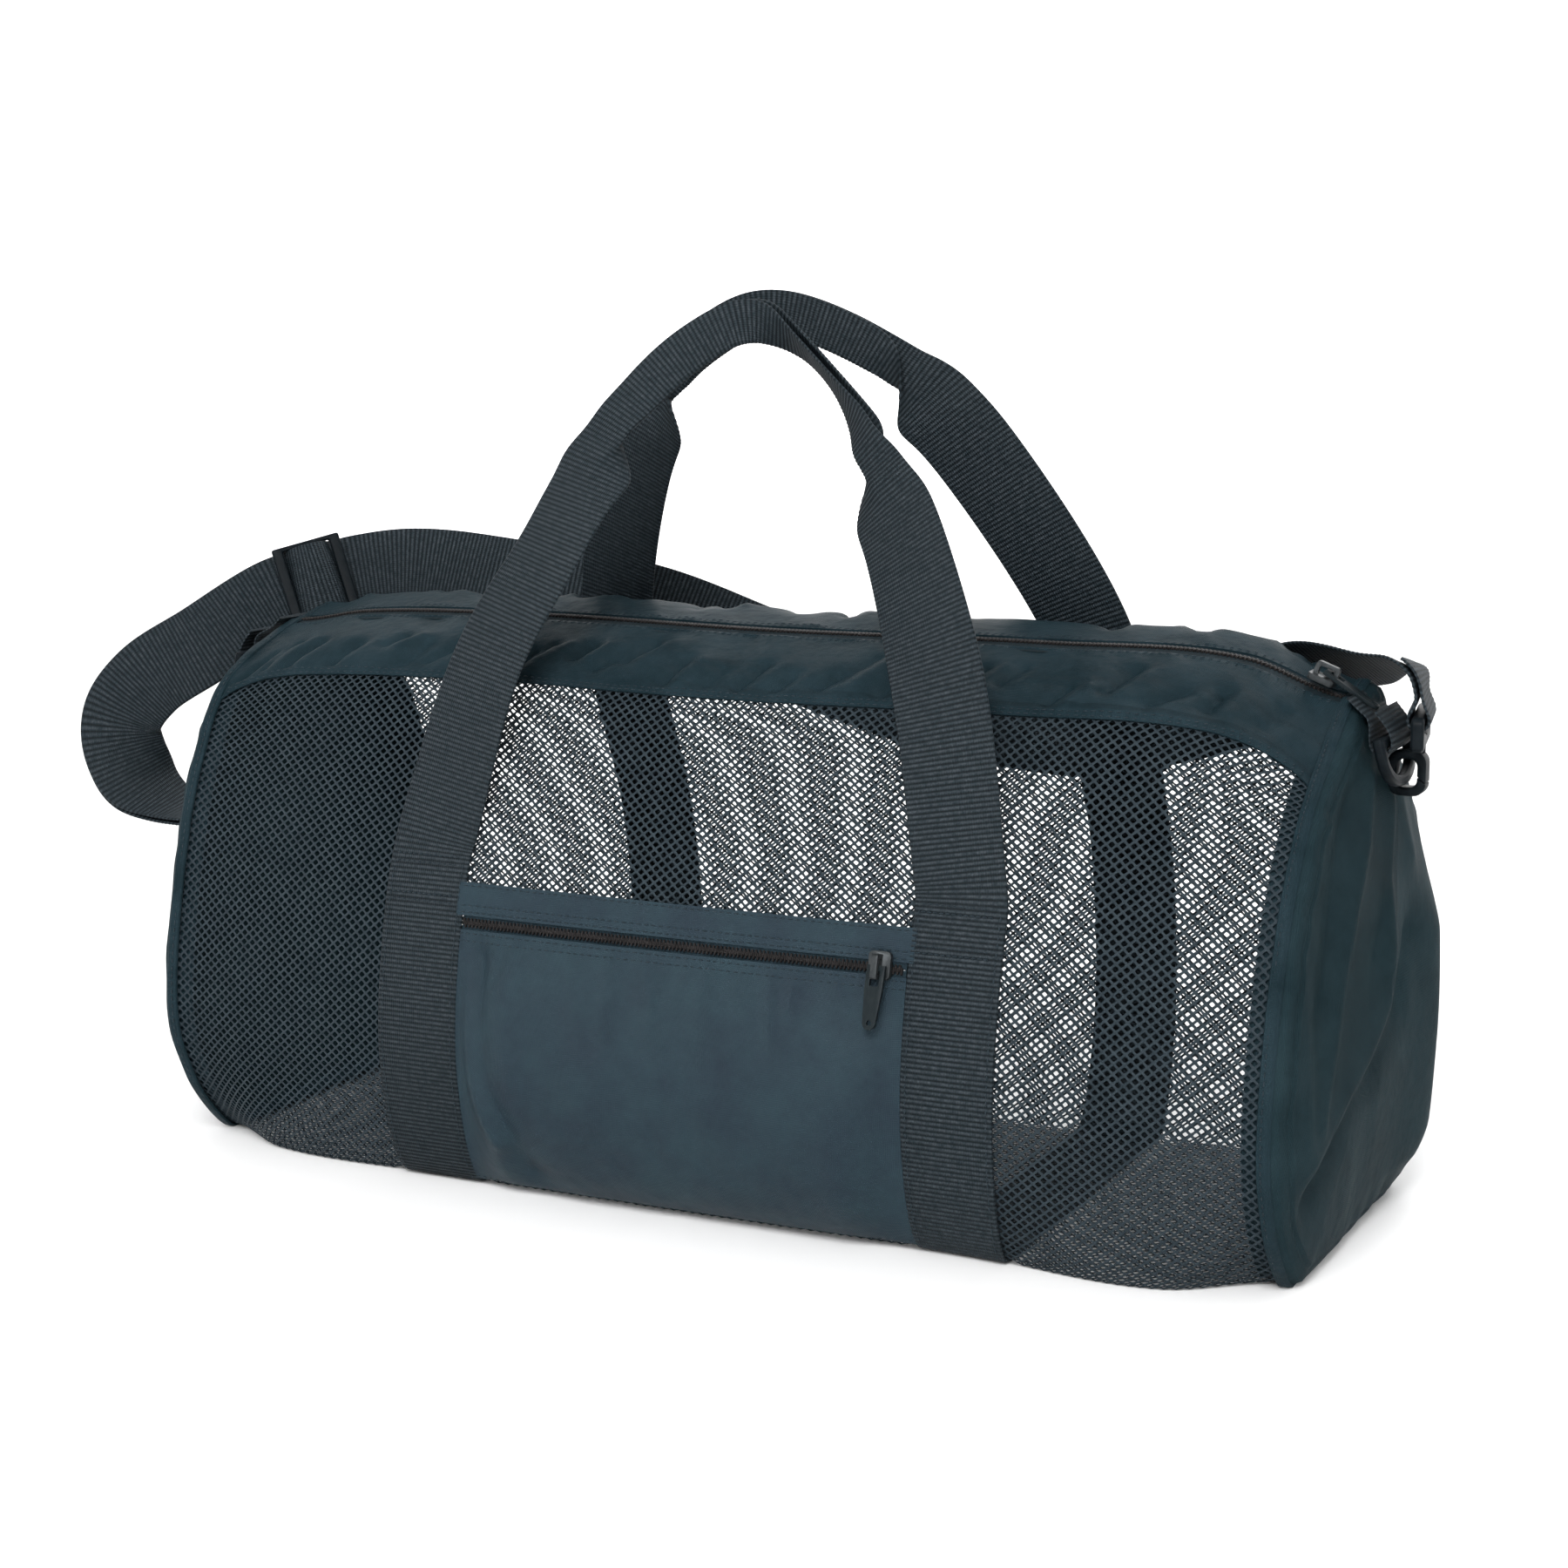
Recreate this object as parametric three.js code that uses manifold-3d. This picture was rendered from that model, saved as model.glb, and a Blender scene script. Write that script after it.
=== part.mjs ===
// Mesh roll bag in mm: length along X, front towards -Y, +Z up, standing on z = 0.
import * as THREE from 'three';
import { mergeVertices } from 'three/addons/utils/BufferGeometryUtils.js';
import Module from 'manifold-3d';

const wasm = await Module();
wasm.setup();

// Driving dimensions
const SEAM_X = 246; // half the length between the end seams
const CLOTH = 1.2; // nylon and net wall
const TAPE = 1.0; // zip and seam tape
const GAP = 0.4; // between neighbouring pieces
const WEB_WIDTH = 38;
const WEB_THICK = 1.8;
const LEG_X = { left: -116, right: 122 }; // middle of each handle leg
const WEB_HALF = WEB_WIDTH / 2;
const WEB_SEAT = GAP + WEB_THICK;

// Heights of the rows that shape each cross-section
const SOLE_Z = -2;
const BELLY_Z = 50;
const CHEST_Z = 125;
const FLANK_Z = 172;
const SHOULDER_DROP = 25;
const ZIP_DROP = 4;
const ZIP_TILT = 1;
const ZIP_OPENING = 12;
const CREST_SHARE = 0.45; // where the crest stands behind the zip, as a share of the shoulder

// Half-depths of the bag along its length, with the crest height and the zip's offset
const SECTION_COLUMNS = ['sole', 'belly', 'chest', 'flank', 'shoulder', 'crest', 'zipY'];
const SECTIONS = [
  { x: -246, sole: 62, belly: 104, chest: 97, flank: 81, shoulder: 60, crest: 227, zipY: -4 },
  { x: -205, sole: 84, belly: 108, chest: 100, flank: 82, shoulder: 61, crest: 233, zipY: -8 },
  { x: -116, sole: 87, belly: 109, chest: 101, flank: 81, shoulder: 60, crest: 236, zipY: -11 },
  { x: 0, sole: 88, belly: 109, chest: 102, flank: 83, shoulder: 62, crest: 235, zipY: -12 },
  { x: 122, sole: 87, belly: 109, chest: 101, flank: 81, shoulder: 60, crest: 236, zipY: -11 },
  { x: 205, sole: 92, belly: 108, chest: 99, flank: 77, shoulder: 52, crest: 233.5, zipY: -7 },
  { x: 246, sole: 65, belly: 105, chest: 95, flank: 70, shoulder: 43, crest: 220, zipY: -3 },
];

// The underside rises towards the ends and over the two straps that run beneath it
const END_LIFT = 1;
const END_LIFT_FROM = 195;
const LIFT_FADE = 6;

const sectionTable = new THREE.CubicInterpolant(
  SECTIONS.map((row) => row.x),
  SECTIONS.flatMap((row) => SECTION_COLUMNS.map((name) => row[name])),
  SECTION_COLUMNS.length,
);

function sectionAt(x) {
  const values = sectionTable.evaluate(x);
  return Object.fromEntries(SECTION_COLUMNS.map((name, i) => [name, values[i]]));
}

function floorAt(x) {
  const past = Math.max(0, Math.abs(x) - END_LIFT_FROM) / (SEAM_X - END_LIFT_FROM);
  const legs = Object.values(LEG_X).map((legX) => Math.abs(x - legX));
  const away = Math.min(...legs) - WEB_HALF - 1;
  const overStrap = WEB_SEAT * THREE.MathUtils.clamp(1 - away / LIFT_FADE, 0, 1);
  return END_LIFT * past * past + overStrap;
}

// Cross-section keys in order: underside, up the front, over the zip, down the back
const KEY = {
  soleFront: 15, chestFront: 17, flankFront: 18, shoulderFront: 19, zipFront: 20,
  zipBack: 21, shoulderBack: 9, flankBack: 10, underside: 14,
};
const KEY_COUNT = 14;
const curves = new Map();

function sectionCurve(x) {
  const found = curves.get(x);
  if (found) return found;
  const s = sectionAt(x);
  const shoulderZ = s.crest - SHOULDER_DROP;
  const zipZ = s.crest - ZIP_DROP;
  const keys = [
    [0, SOLE_Z],
    [-s.sole, SOLE_Z],
    [-s.belly, BELLY_Z],
    [-s.chest, CHEST_Z],
    [-s.flank, FLANK_Z],
    [-s.shoulder, shoulderZ],
    [s.zipY - ZIP_OPENING / 2, zipZ - ZIP_TILT],
    [s.zipY + ZIP_OPENING / 2, zipZ + ZIP_TILT],
    [s.shoulder * CREST_SHARE, s.crest],
    [s.shoulder, shoulderZ],
    [s.flank, FLANK_Z],
    [s.chest, CHEST_Z],
    [s.belly, BELLY_Z],
    [s.sole, SOLE_Z],
  ].map(([y, z]) => new THREE.Vector3(0, y, z));
  const curve = new THREE.CatmullRomCurve3(keys, true, 'centripetal');
  curves.set(x, curve);
  return curve;
}

// A point on the bag's outer surface at length x and key u, moved out by offset
function bodyPoint(x, u, offset = 0) {
  const t = (((u / KEY_COUNT) % 1) + 1) % 1;
  const curve = sectionCurve(x);
  const point = curve.getPoint(t);
  const tangent = curve.getTangent(t);
  const normal = new THREE.Vector3(0, -tangent.z, tangent.y);
  const floor = floorAt(x);
  if (point.z < floor) {
    point.z = floor;
    normal.set(0, 0, -1);
  }
  return point.addScaledVector(normal, offset).setX(x);
}

// Turns a closed geometry so that its faces look out
function facingOut(geometry) {
  const p = geometry.attributes.position;
  const index = geometry.index.array;
  const [a, b, c] = [new THREE.Vector3(), new THREE.Vector3(), new THREE.Vector3()];
  let volume = 0;
  for (let i = 0; i < index.length; i += 3) {
    a.fromBufferAttribute(p, index[i]);
    b.fromBufferAttribute(p, index[i + 1]);
    c.fromBufferAttribute(p, index[i + 2]);
    volume += a.dot(b.cross(c));
  }
  if (volume < 0) {
    for (let i = 0; i < index.length; i += 3) {
      [index[i + 1], index[i + 2]] = [index[i + 2], index[i + 1]];
    }
  }
  geometry.computeVertexNormals();
  return geometry;
}

function fromPoints(points, index) {
  const geometry = new THREE.BufferGeometry().setFromPoints(points);
  geometry.setIndex(index);
  return facingOut(geometry);
}

// A closed wall between an outer and an inner grid of points.
// With ring, the last column meets the first; with pole, one point closes the last row.
// Both grids split their quads along the same diagonal, the other one in rows where turned is true.
function wall(outer, inner, { ring = false, pole = null, turned = () => false } = {}) {
  const rows = outer.length;
  const columns = outer[0].length;
  const points = [...outer.flat(), ...inner.flat()];
  const shift = rows * columns;
  const at = (side, i, j) => side * shift + i * columns + (j % columns);
  const index = [];
  const quad = (a, b, c, d) => index.push(a, b, c, a, c, d);
  const across = ring ? columns : columns - 1;
  for (let i = 0; i < rows - 1; i++) {
    for (let j = 0; j < across; j++) {
      const corners = [[i, j], [i + 1, j], [i + 1, j + 1], [i, j + 1]];
      if (turned(i)) corners.push(corners.shift());
      quad(...corners.map(([row, column]) => at(0, row, column)));
      const facing = [corners[0], ...corners.slice(1).reverse()];
      quad(...facing.map(([row, column]) => at(1, row, column)));
    }
    if (!ring) {
      const last = columns - 1;
      quad(at(1, i, 0), at(1, i + 1, 0), at(0, i + 1, 0), at(0, i, 0));
      quad(at(0, i, last), at(0, i + 1, last), at(1, i + 1, last), at(1, i, last));
    }
  }
  const end = rows - 1;
  for (let j = 0; j < across; j++) {
    quad(at(0, 0, j), at(0, 0, j + 1), at(1, 0, j + 1), at(1, 0, j));
    if (pole) {
      index.push(at(0, end, j), points.length, at(0, end, j + 1));
      index.push(at(1, end, j + 1), points.length + 1, at(1, end, j));
    } else {
      quad(at(1, end, j), at(1, end, j + 1), at(0, end, j + 1), at(0, end, j));
    }
  }
  if (pole) points.push(...pole);
  return fromPoints(points, index);
}

// Values from a to b in n equal steps
const steps = (a, b, n) => Array.from({ length: n + 1 }, (_, i) => a + ((b - a) * i) / n);

// Materials, one for each finish
const finish = (color, roughness) => new THREE.MeshStandardMaterial({ color, roughness });
const NET = finish(0x4d5d66, 0.8);
const NYLON = finish(0x3c4a53, 0.7);
const POCKET_NYLON = finish(0x3f4e59, 0.7);
const WEBBING = finish(0x30363d, 0.85);
const ZIP = finish(0x26292c, 0.8);
const METAL = finish(0x3a3c3e, 0.45);
const PLASTIC = finish(0x1c1e20, 0.5);

const bag = new THREE.Group();
function add(name, geometry, material) {
  const mesh = new THREE.Mesh(geometry, material);
  mesh.name = name;
  bag.add(mesh);
  return mesh;
}

// Cloth body
const CORNER = 26; // radius of the bands' lower corners at the end seams
const SHOULDER_SPAN = 52; // cloth from the flank row to the shoulder row
const EDGE = GAP / 2 / SHOULDER_SPAN; // half a gap, in keys

function bandDrop(x) {
  const past = THREE.MathUtils.clamp((Math.abs(x) - SEAM_X + CORNER) / CORNER, 0, 1);
  return (CORNER * (1 - Math.sqrt(1 - past * past))) / SHOULDER_SPAN;
}

// Lengthwise stations: close together at the end seams and over the straps
const nearLeg = [-WEB_HALF - 1 - LIFT_FADE, -WEB_HALF, 0, WEB_HALF, WEB_HALF + 1 + LIFT_FADE];
const nearSeam = [0, 5, 13, CORNER];
const STATIONS = [
  ...nearSeam.map((inset) => inset - SEAM_X),
  -175,
  ...nearLeg.map((shift) => LEG_X.left + shift),
  -50, 0, 50,
  ...nearLeg.map((shift) => LEG_X.right + shift),
  175,
  ...nearSeam.map((inset) => SEAM_X - inset).reverse(),
];

// Keys across the net, the same on every station but for the last span at each edge
const NET_KEYS = [
  ...steps(10, 12, 4), ...steps(12, 13, 3).slice(1), ...steps(13, 15, 4).slice(1),
  ...steps(15, 16, 3).slice(1), ...steps(16, 17, 2).slice(1), ...steps(17, 18, 3).slice(1),
];
function netRow(x) {
  const drop = bandDrop(x) + EDGE;
  return [
    ...steps(KEY.shoulderBack + drop, KEY.flankBack, 2).slice(0, -1),
    ...NET_KEYS,
    ...steps(KEY.flankFront, KEY.shoulderFront - drop, 2).slice(1),
  ];
}

function bodyPanel(stations, rowOf, outside, thick) {
  const grid = (offset) => stations.map((x) =>
    rowOf(x).map((u) => bodyPoint(x, u, outside(x, u) - offset)));
  return wall(grid(0), grid(thick));
}

const flush = () => 0;
const frontBandRow = (x) => steps(KEY.shoulderFront - bandDrop(x) + EDGE, KEY.zipFront - EDGE, 3);
const backBandRow = (x) => steps(KEY.zipBack + EDGE,
  KEY_COUNT + KEY.shoulderBack + bandDrop(x) - EDGE, 5);
add('mesh_wrap', bodyPanel(STATIONS, netRow, flush, CLOTH), NET);
add('top_band_front', bodyPanel(STATIONS, frontBandRow, flush, CLOTH), NYLON);
add('top_band_back', bodyPanel(STATIONS, backBandRow, flush, CLOTH), NYLON);

// End panels: rings from the seam to the middle, each reaching a share of the rim and standing out
const PANEL_CENTRE_Z = 104;
const PANEL_RINGS = [
  { reach: 1.0, out: 0.8 },
  { reach: 0.988, out: 4.2 },
  { reach: 0.94, out: 7 },
  { reach: 0.78, out: 9 },
  { reach: 0.58, out: 11.5 },
  { reach: 0.3, out: 14 },
];
const PANEL_MIDDLE = 15;
const PANEL_PUFF = { left: 1.45, right: 1.05 }; // how full each panel is
const FOLD_SHARE = { left: 0.4, right: 1 }; // and how deep its folds are
// Main folds of an end panel, each a ridge from its top to its foot
const FOLD_FADE = 0.18;
const FOLDS = [
  { topY: -6, topZ: 175, footY: -34, footZ: 60, width: 11, height: 2 },
  { topY: 20, topZ: 160, footY: 8, footZ: 30, width: 14, height: -2.4 },
  { topY: 66, topZ: 110, footY: 60, footZ: 30, width: 28, height: 10 },
];
const RING_KEYS = [...steps(9, 10, 2), ...NET_KEYS.slice(1), ...steps(18, 19, 2).slice(1),
  ...steps(19, 20, 3).slice(1), ...steps(21, 23, 5).slice(0, -1)];

function foldHeight(label, y, z, reach) {
  let total = 0;
  for (const fold of FOLDS) {
    const line = new THREE.Line3(
      new THREE.Vector3(0, fold.topY, fold.topZ),
      new THREE.Vector3(0, fold.footY, fold.footZ),
    );
    const here = new THREE.Vector3(0, y, z);
    const away = line.closestPointToPoint(here, true, new THREE.Vector3()).distanceTo(here);
    total += fold.height * Math.exp(-((away / fold.width) ** 2));
  }
  return FOLD_SHARE[label] * total * THREE.MathUtils.clamp((1 - reach) / FOLD_FADE, 0, 1);
}

function panelPoint(label, side, ring, u) {
  const rim = bodyPoint(side * SEAM_X, u);
  const y = rim.y * ring.reach;
  const z = PANEL_CENTRE_Z + (rim.z - PANEL_CENTRE_Z) * ring.reach;
  const out = ring.out * PANEL_PUFF[label] + foldHeight(label, y, z, ring.reach);
  return new THREE.Vector3(side * (SEAM_X + out), y, z);
}

function endPanel(label, side) {
  const outer = PANEL_RINGS.map((ring) => RING_KEYS.map((u) => panelPoint(label, side, ring, u)));
  const columns = RING_KEYS.length;
  const inner = outer.map((row, i) => row.map((point, j) => {
    const next = outer[Math.min(i + 1, outer.length - 1)][j];
    const before = outer[Math.max(i - 1, 0)][j];
    const along = row[(j + 1) % columns].clone().sub(row[(j + columns - 1) % columns]);
    const normal = next.clone().sub(before).cross(along).normalize();
    if (normal.x * side < 0) normal.negate();
    return point.clone().addScaledVector(normal, -CLOTH);
  }));
  const middleOut = PANEL_MIDDLE * PANEL_PUFF[label] + foldHeight(label, 0, PANEL_CENTRE_Z, 0);
  const middle = side * (SEAM_X + middleOut);
  const pole = [
    new THREE.Vector3(middle, 0, PANEL_CENTRE_Z),
    new THREE.Vector3(middle - side * CLOTH, 0, PANEL_CENTRE_Z),
  ];
  return wall(outer, inner, { ring: true, pole });
}

// Binding tape inside each end seam
const SEAM_TAPE_WIDTH = 10;
const SEAM_TAPE_SEAT = CLOTH + 1.8;
function seamTape(side) {
  const grid = (offset) => [SEAM_X - SEAM_TAPE_WIDTH, SEAM_X - GAP].map((x) =>
    RING_KEYS.map((u) => bodyPoint(side * x, u, -offset)));
  return wall(grid(SEAM_TAPE_SEAT), grid(SEAM_TAPE_SEAT + TAPE), { ring: true });
}

for (const [label, side] of [['left', -1], ['right', 1]]) {
  add(`end_panel_${label}`, endPanel(label, side), NYLON);
  add(`seam_tape_${label}`, seamTape(side), NYLON);
}

// Top zip: a tape along each band edge and the coil between them
const COIL_HEIGHT = 1.2; // how far the coil stands above its tapes
const COIL_SHARE = 0.17; // half the coil, as a share of the zip opening
const ZIP_EDGE = 0.03; // gaps in the zip, as a share of its opening
const zipMiddle = KEY.zipFront + 0.5;
const tapeFrontRow = () => [KEY.zipFront + ZIP_EDGE, zipMiddle - COIL_SHARE - ZIP_EDGE];
const tapeBackRow = () => [zipMiddle + COIL_SHARE + ZIP_EDGE, KEY.zipBack - ZIP_EDGE];
const coilRow = () => steps(zipMiddle - COIL_SHARE, zipMiddle + COIL_SHARE, 2);
const coilRise = (x, u) => COIL_HEIGHT * (Math.abs(u - zipMiddle) < COIL_SHARE / 2 ? 1 : 0.4);
add('top_zip_tape_front', bodyPanel(STATIONS, tapeFrontRow, flush, TAPE), ZIP);
add('top_zip_tape_back', bodyPanel(STATIONS, tapeBackRow, flush, TAPE), ZIP);
add('top_zip_coil', bodyPanel(STATIONS, coilRow, coilRise, COIL_HEIGHT + TAPE), ZIP);

// Front pocket between the handle legs
const POCKET_LEFT = LEG_X.left + WEB_HALF + GAP;
const POCKET_RIGHT = LEG_X.right - WEB_HALF - GAP;
const POCKET_SEAT = GAP + CLOTH;
const POCKET_BULGE = 8;
const POCKET_FOOT = 15.18; // keys from the underside edge up to the zip and the header's top
const POCKET_ZIP = 16.86;
const HEADER_TOP = 17.12;
const POCKET_TAPE = 0.05; // zip tape and coil widths, in keys
const POCKET_COIL = 0.026;
const KEY_GAP = 0.006;
const pocketStations = steps(POCKET_LEFT, POCKET_RIGHT, 10);

function pocketRise(x, u) {
  const share = (x - POCKET_LEFT) / (POCKET_RIGHT - POCKET_LEFT);
  const across = Math.max(0, Math.sin(Math.PI * share));
  const up = THREE.MathUtils.clamp((u - POCKET_FOOT) / (POCKET_ZIP - POCKET_FOOT), 0, 1);
  return POCKET_BULGE * across ** 0.6 * Math.sin(Math.PI * up) ** 0.8;
}
const zipLow = POCKET_ZIP - POCKET_COIL / 2 - KEY_GAP;
const zipHigh = POCKET_ZIP + POCKET_COIL / 2 + KEY_GAP;
const pocketRow = () => steps(POCKET_FOOT, zipLow - POCKET_TAPE - KEY_GAP, 8);
const seated = () => POCKET_SEAT;
add('pocket_panel', bodyPanel(pocketStations, pocketRow, (x, u) => POCKET_SEAT + pocketRise(x, u),
  CLOTH), POCKET_NYLON);
add('pocket_zip_tape_lower', bodyPanel(pocketStations, () => [zipLow - POCKET_TAPE, zipLow],
  seated, TAPE), ZIP);
add('pocket_zip_coil', bodyPanel(pocketStations,
  () => steps(POCKET_ZIP - POCKET_COIL / 2, POCKET_ZIP + POCKET_COIL / 2, 2),
  () => POCKET_SEAT + COIL_HEIGHT / 2, TAPE + COIL_HEIGHT / 2), ZIP);
add('pocket_zip_tape_upper', bodyPanel(pocketStations, () => [zipHigh, zipHigh + POCKET_TAPE],
  seated, TAPE), ZIP);
add('pocket_header', bodyPanel(pocketStations,
  () => steps(zipHigh + POCKET_TAPE + KEY_GAP, HEADER_TOP, 2), seated, CLOTH), POCKET_NYLON);

// Webbing rows: a row holds the outer and the inner pair of edge points
function webRow(point, along, out, width, thick) {
  const across = along.clone().cross(out).normalize();
  const face = across.clone().cross(along).normalize();
  const pair = (lift) => [-1, 1].map((edge) => point.clone()
    .addScaledVector(across, (edge * width) / 2)
    .addScaledVector(face, lift));
  return { outer: pair(thick / 2), inner: pair(-thick / 2) };
}

function webbing(rows) {
  return wall(rows.map((row) => row.outer), rows.map((row) => row.inner),
    { turned: (i) => rows[i].under });
}

function tangents(points) {
  return points.map((_, i) => points[Math.min(i + 1, points.length - 1)].clone()
    .sub(points[Math.max(i - 1, 0)]).normalize());
}

// Handles: sewn from the underside to just above the chest, then free up to the folded grip
const SEWN_TOP = NET_KEYS[NET_KEYS.indexOf(KEY.chestFront) + 1]; // the row above the chest
const UNDERSIDE_GAP = 0.005; // keys between the two lengths where they meet underneath
const GRIP_WIDTH = 19.5; // the webbing folded in half and sewn
const GRIP_THICK = 4;
const FOLD_LENGTH = 24; // over which the webbing narrows into the grip
const LEG_SPACING = 14; // length of webbing between rows

// The free run of each handle from its left leg to its right leg; grip marks the folded stretch
// and turn is how far the webbing turns about its length, in degrees
const FRONT_RUN = [
  { x: -98, y: -79, z: 222, turn: -34, grip: false },
  { x: -80, y: -57, z: 268, turn: -46, grip: false },
  { x: -63, y: -37, z: 311, turn: -30, grip: true },
  { x: -50, y: -29, z: 332, turn: -10, grip: true },
  { x: -31, y: -21, z: 349, turn: 0, grip: true },
  { x: -6, y: -14, z: 362, turn: -25, grip: true },
  { x: 16, y: -14, z: 357, turn: -70, grip: true },
  { x: 42, y: -21, z: 336, turn: -55, grip: true },
  { x: 61, y: -34, z: 306, turn: -25, grip: true },
  { x: 103, y: -79, z: 226, turn: -22, grip: false },
];
const BACK_RUN = [
  { x: -117, y: 66, z: 226, turn: 0, grip: false },
  { x: -82, y: 28, z: 313, turn: 0, grip: true },
  { x: -70, y: 22, z: 331, turn: 0, grip: true },
  { x: -46, y: 16, z: 350, turn: 0, grip: true },
  { x: -14, y: 12, z: 361, turn: 0, grip: true },
  { x: 24, y: 17, z: 352, turn: 0, grip: true },
  { x: 56, y: 27, z: 328, turn: 0, grip: true },
  { x: 114, y: 66, z: 226, turn: 0, grip: false },
];

const UP = new THREE.Vector3(0, 0, 1);
function handle(side, run) {
  const mirrorKey = (u) => (side < 0 ? u : 2 * KEY.underside - u);
  const sewnKeys = [KEY.underside + UNDERSIDE_GAP, ...NET_KEYS.filter((u) =>
    u > KEY.underside + UNDERSIDE_GAP && u <= SEWN_TOP)];
  const sewnRow = (legX, u, direction) => {
    const edges = [-1, 1].map((edge) => legX - side * direction * edge * WEB_HALF);
    const pair = (offset) => edges.map((x) => bodyPoint(x, mirrorKey(u), offset));
    return { outer: pair(WEB_SEAT), inner: pair(GAP) };
  };
  const sewnMiddle = (x) => bodyPoint(x, mirrorKey(SEWN_TOP), GAP + WEB_THICK / 2);
  const keys = run.map((row) => new THREE.Vector3(row.x, row.y, row.z));
  const curve = new THREE.CatmullRomCurve3([sewnMiddle(LEG_X.left), ...keys, sewnMiddle(LEG_X.right)]);
  const turns = new THREE.CatmullRomCurve3([0, ...run.map((row) => row.turn), 0].map((turn) =>
    new THREE.Vector3(THREE.MathUtils.degToRad(turn), 0, 0)), false, 'catmullrom', 0.5);
  const length = curve.getLength();
  const points = curve.getSpacedPoints(Math.round(length / LEG_SPACING));
  const folded = run.filter((row) => row.grip);
  const nearestRow = (row) => points.reduce((best, p, i) =>
    (p.distanceTo(row) < points[best].distanceTo(row) ? i : best), 0);
  const [from, to] = [folded[0], folded[folded.length - 1]].map(nearestRow);
  const spacing = length / (points.length - 1);
  const directions = tangents(points);
  const free = points.map((point, i) => {
    const along = directions[i];
    const share = curve.getUtoTmapping(i / (points.length - 1));
    const out = new THREE.Vector3(0, side, 0).applyAxisAngle(UP, turns.getPoint(share).x);
    const open = THREE.MathUtils.clamp((Math.max(from - i, i - to) * spacing) / FOLD_LENGTH, 0, 1);
    const width = THREE.MathUtils.lerp(GRIP_WIDTH, WEB_WIDTH, open);
    const thick = THREE.MathUtils.lerp(GRIP_THICK, WEB_THICK, open);
    return webRow(point, along, out, width, thick);
  });
  return webbing([
    ...sewnKeys.map((u) => sewnRow(LEG_X.left, u, 1)),
    ...free.slice(1, -1),
    ...sewnKeys.slice().reverse().map((u) => sewnRow(LEG_X.right, u, -1)),
  ]);
}

add('handle_front', handle(-1, FRONT_RUN), WEBBING);
add('handle_back', handle(1, BACK_RUN), WEBBING);

// Solids for the hard pieces
function toSolid(geometry) {
  const bare = geometry.clone();
  bare.deleteAttribute('normal');
  bare.deleteAttribute('uv');
  const merged = mergeVertices(bare, 1e-4);
  return new wasm.Manifold(new wasm.Mesh({
    numProp: 3,
    vertProperties: merged.attributes.position.array,
    triVerts: new Uint32Array(merged.index.array),
  }));
}

function fromSolid(solid) {
  const mesh = solid.getMesh();
  const geometry = new THREE.BufferGeometry();
  geometry.setAttribute('position', new THREE.BufferAttribute(mesh.vertProperties, 3));
  geometry.setIndex(new THREE.BufferAttribute(mesh.triVerts, 1));
  geometry.computeVertexNormals();
  return geometry;
}

const join = (...geometries) => fromSolid(wasm.Manifold.union(geometries.map(toSolid)));
const cut = (from, tool) => fromSolid(toSolid(from).subtract(toSolid(tool)));

function roundedRect(x0, y0, x1, y1, radius, path = new THREE.Shape()) {
  path.moveTo(x0 + radius, y0);
  path.lineTo(x1 - radius, y0);
  path.absarc(x1 - radius, y0 + radius, radius, -Math.PI / 2, 0, false);
  path.lineTo(x1, y1 - radius);
  path.absarc(x1 - radius, y1 - radius, radius, 0, Math.PI / 2, false);
  path.lineTo(x0 + radius, y1);
  path.absarc(x0 + radius, y1 - radius, radius, Math.PI / 2, Math.PI, false);
  path.lineTo(x0, y0 + radius);
  path.absarc(x0 + radius, y0 + radius, radius, Math.PI, Math.PI * 1.5, false);
  return path;
}

function plate(shape, depth, bevel, curveSegments = 4) {
  const geometry = new THREE.ExtrudeGeometry(shape, {
    depth: depth - 2 * bevel, curveSegments, bevelEnabled: bevel > 0, bevelSegments: 1,
    bevelSize: bevel, bevelThickness: bevel, bevelOffset: -bevel,
  });
  return geometry.translate(0, 0, -depth / 2 + bevel);
}

// Zip slider, lying on local z = 0 with its pull towards local +X
const SLIDER = { back: -6.6, front: 4.4, half: 4.6, height: 2.4, bridgeWidth: 2.6 };
const BRIDGE = { back: -5.4, front: 4.4, wall: 1.8, top: 7.6, roof: 1.6 };
const PIVOT_Z = 4.4;

function slider() {
  const base = plate(roundedRect(SLIDER.back, -SLIDER.half, SLIDER.front, SLIDER.half, 2),
    SLIDER.height, 0, 2).translate(0, 0, SLIDER.height / 2);
  const arch = roundedRect(BRIDGE.back, 1, BRIDGE.front, BRIDGE.top, 1.4);
  arch.holes.push(roundedRect(BRIDGE.back + BRIDGE.wall, SLIDER.height, BRIDGE.front - BRIDGE.wall,
    BRIDGE.top - BRIDGE.roof, 0.8, new THREE.Path()));
  const bridge = plate(arch, SLIDER.bridgeWidth, 0, 2).rotateX(Math.PI / 2);
  return join(base, bridge);
}

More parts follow.
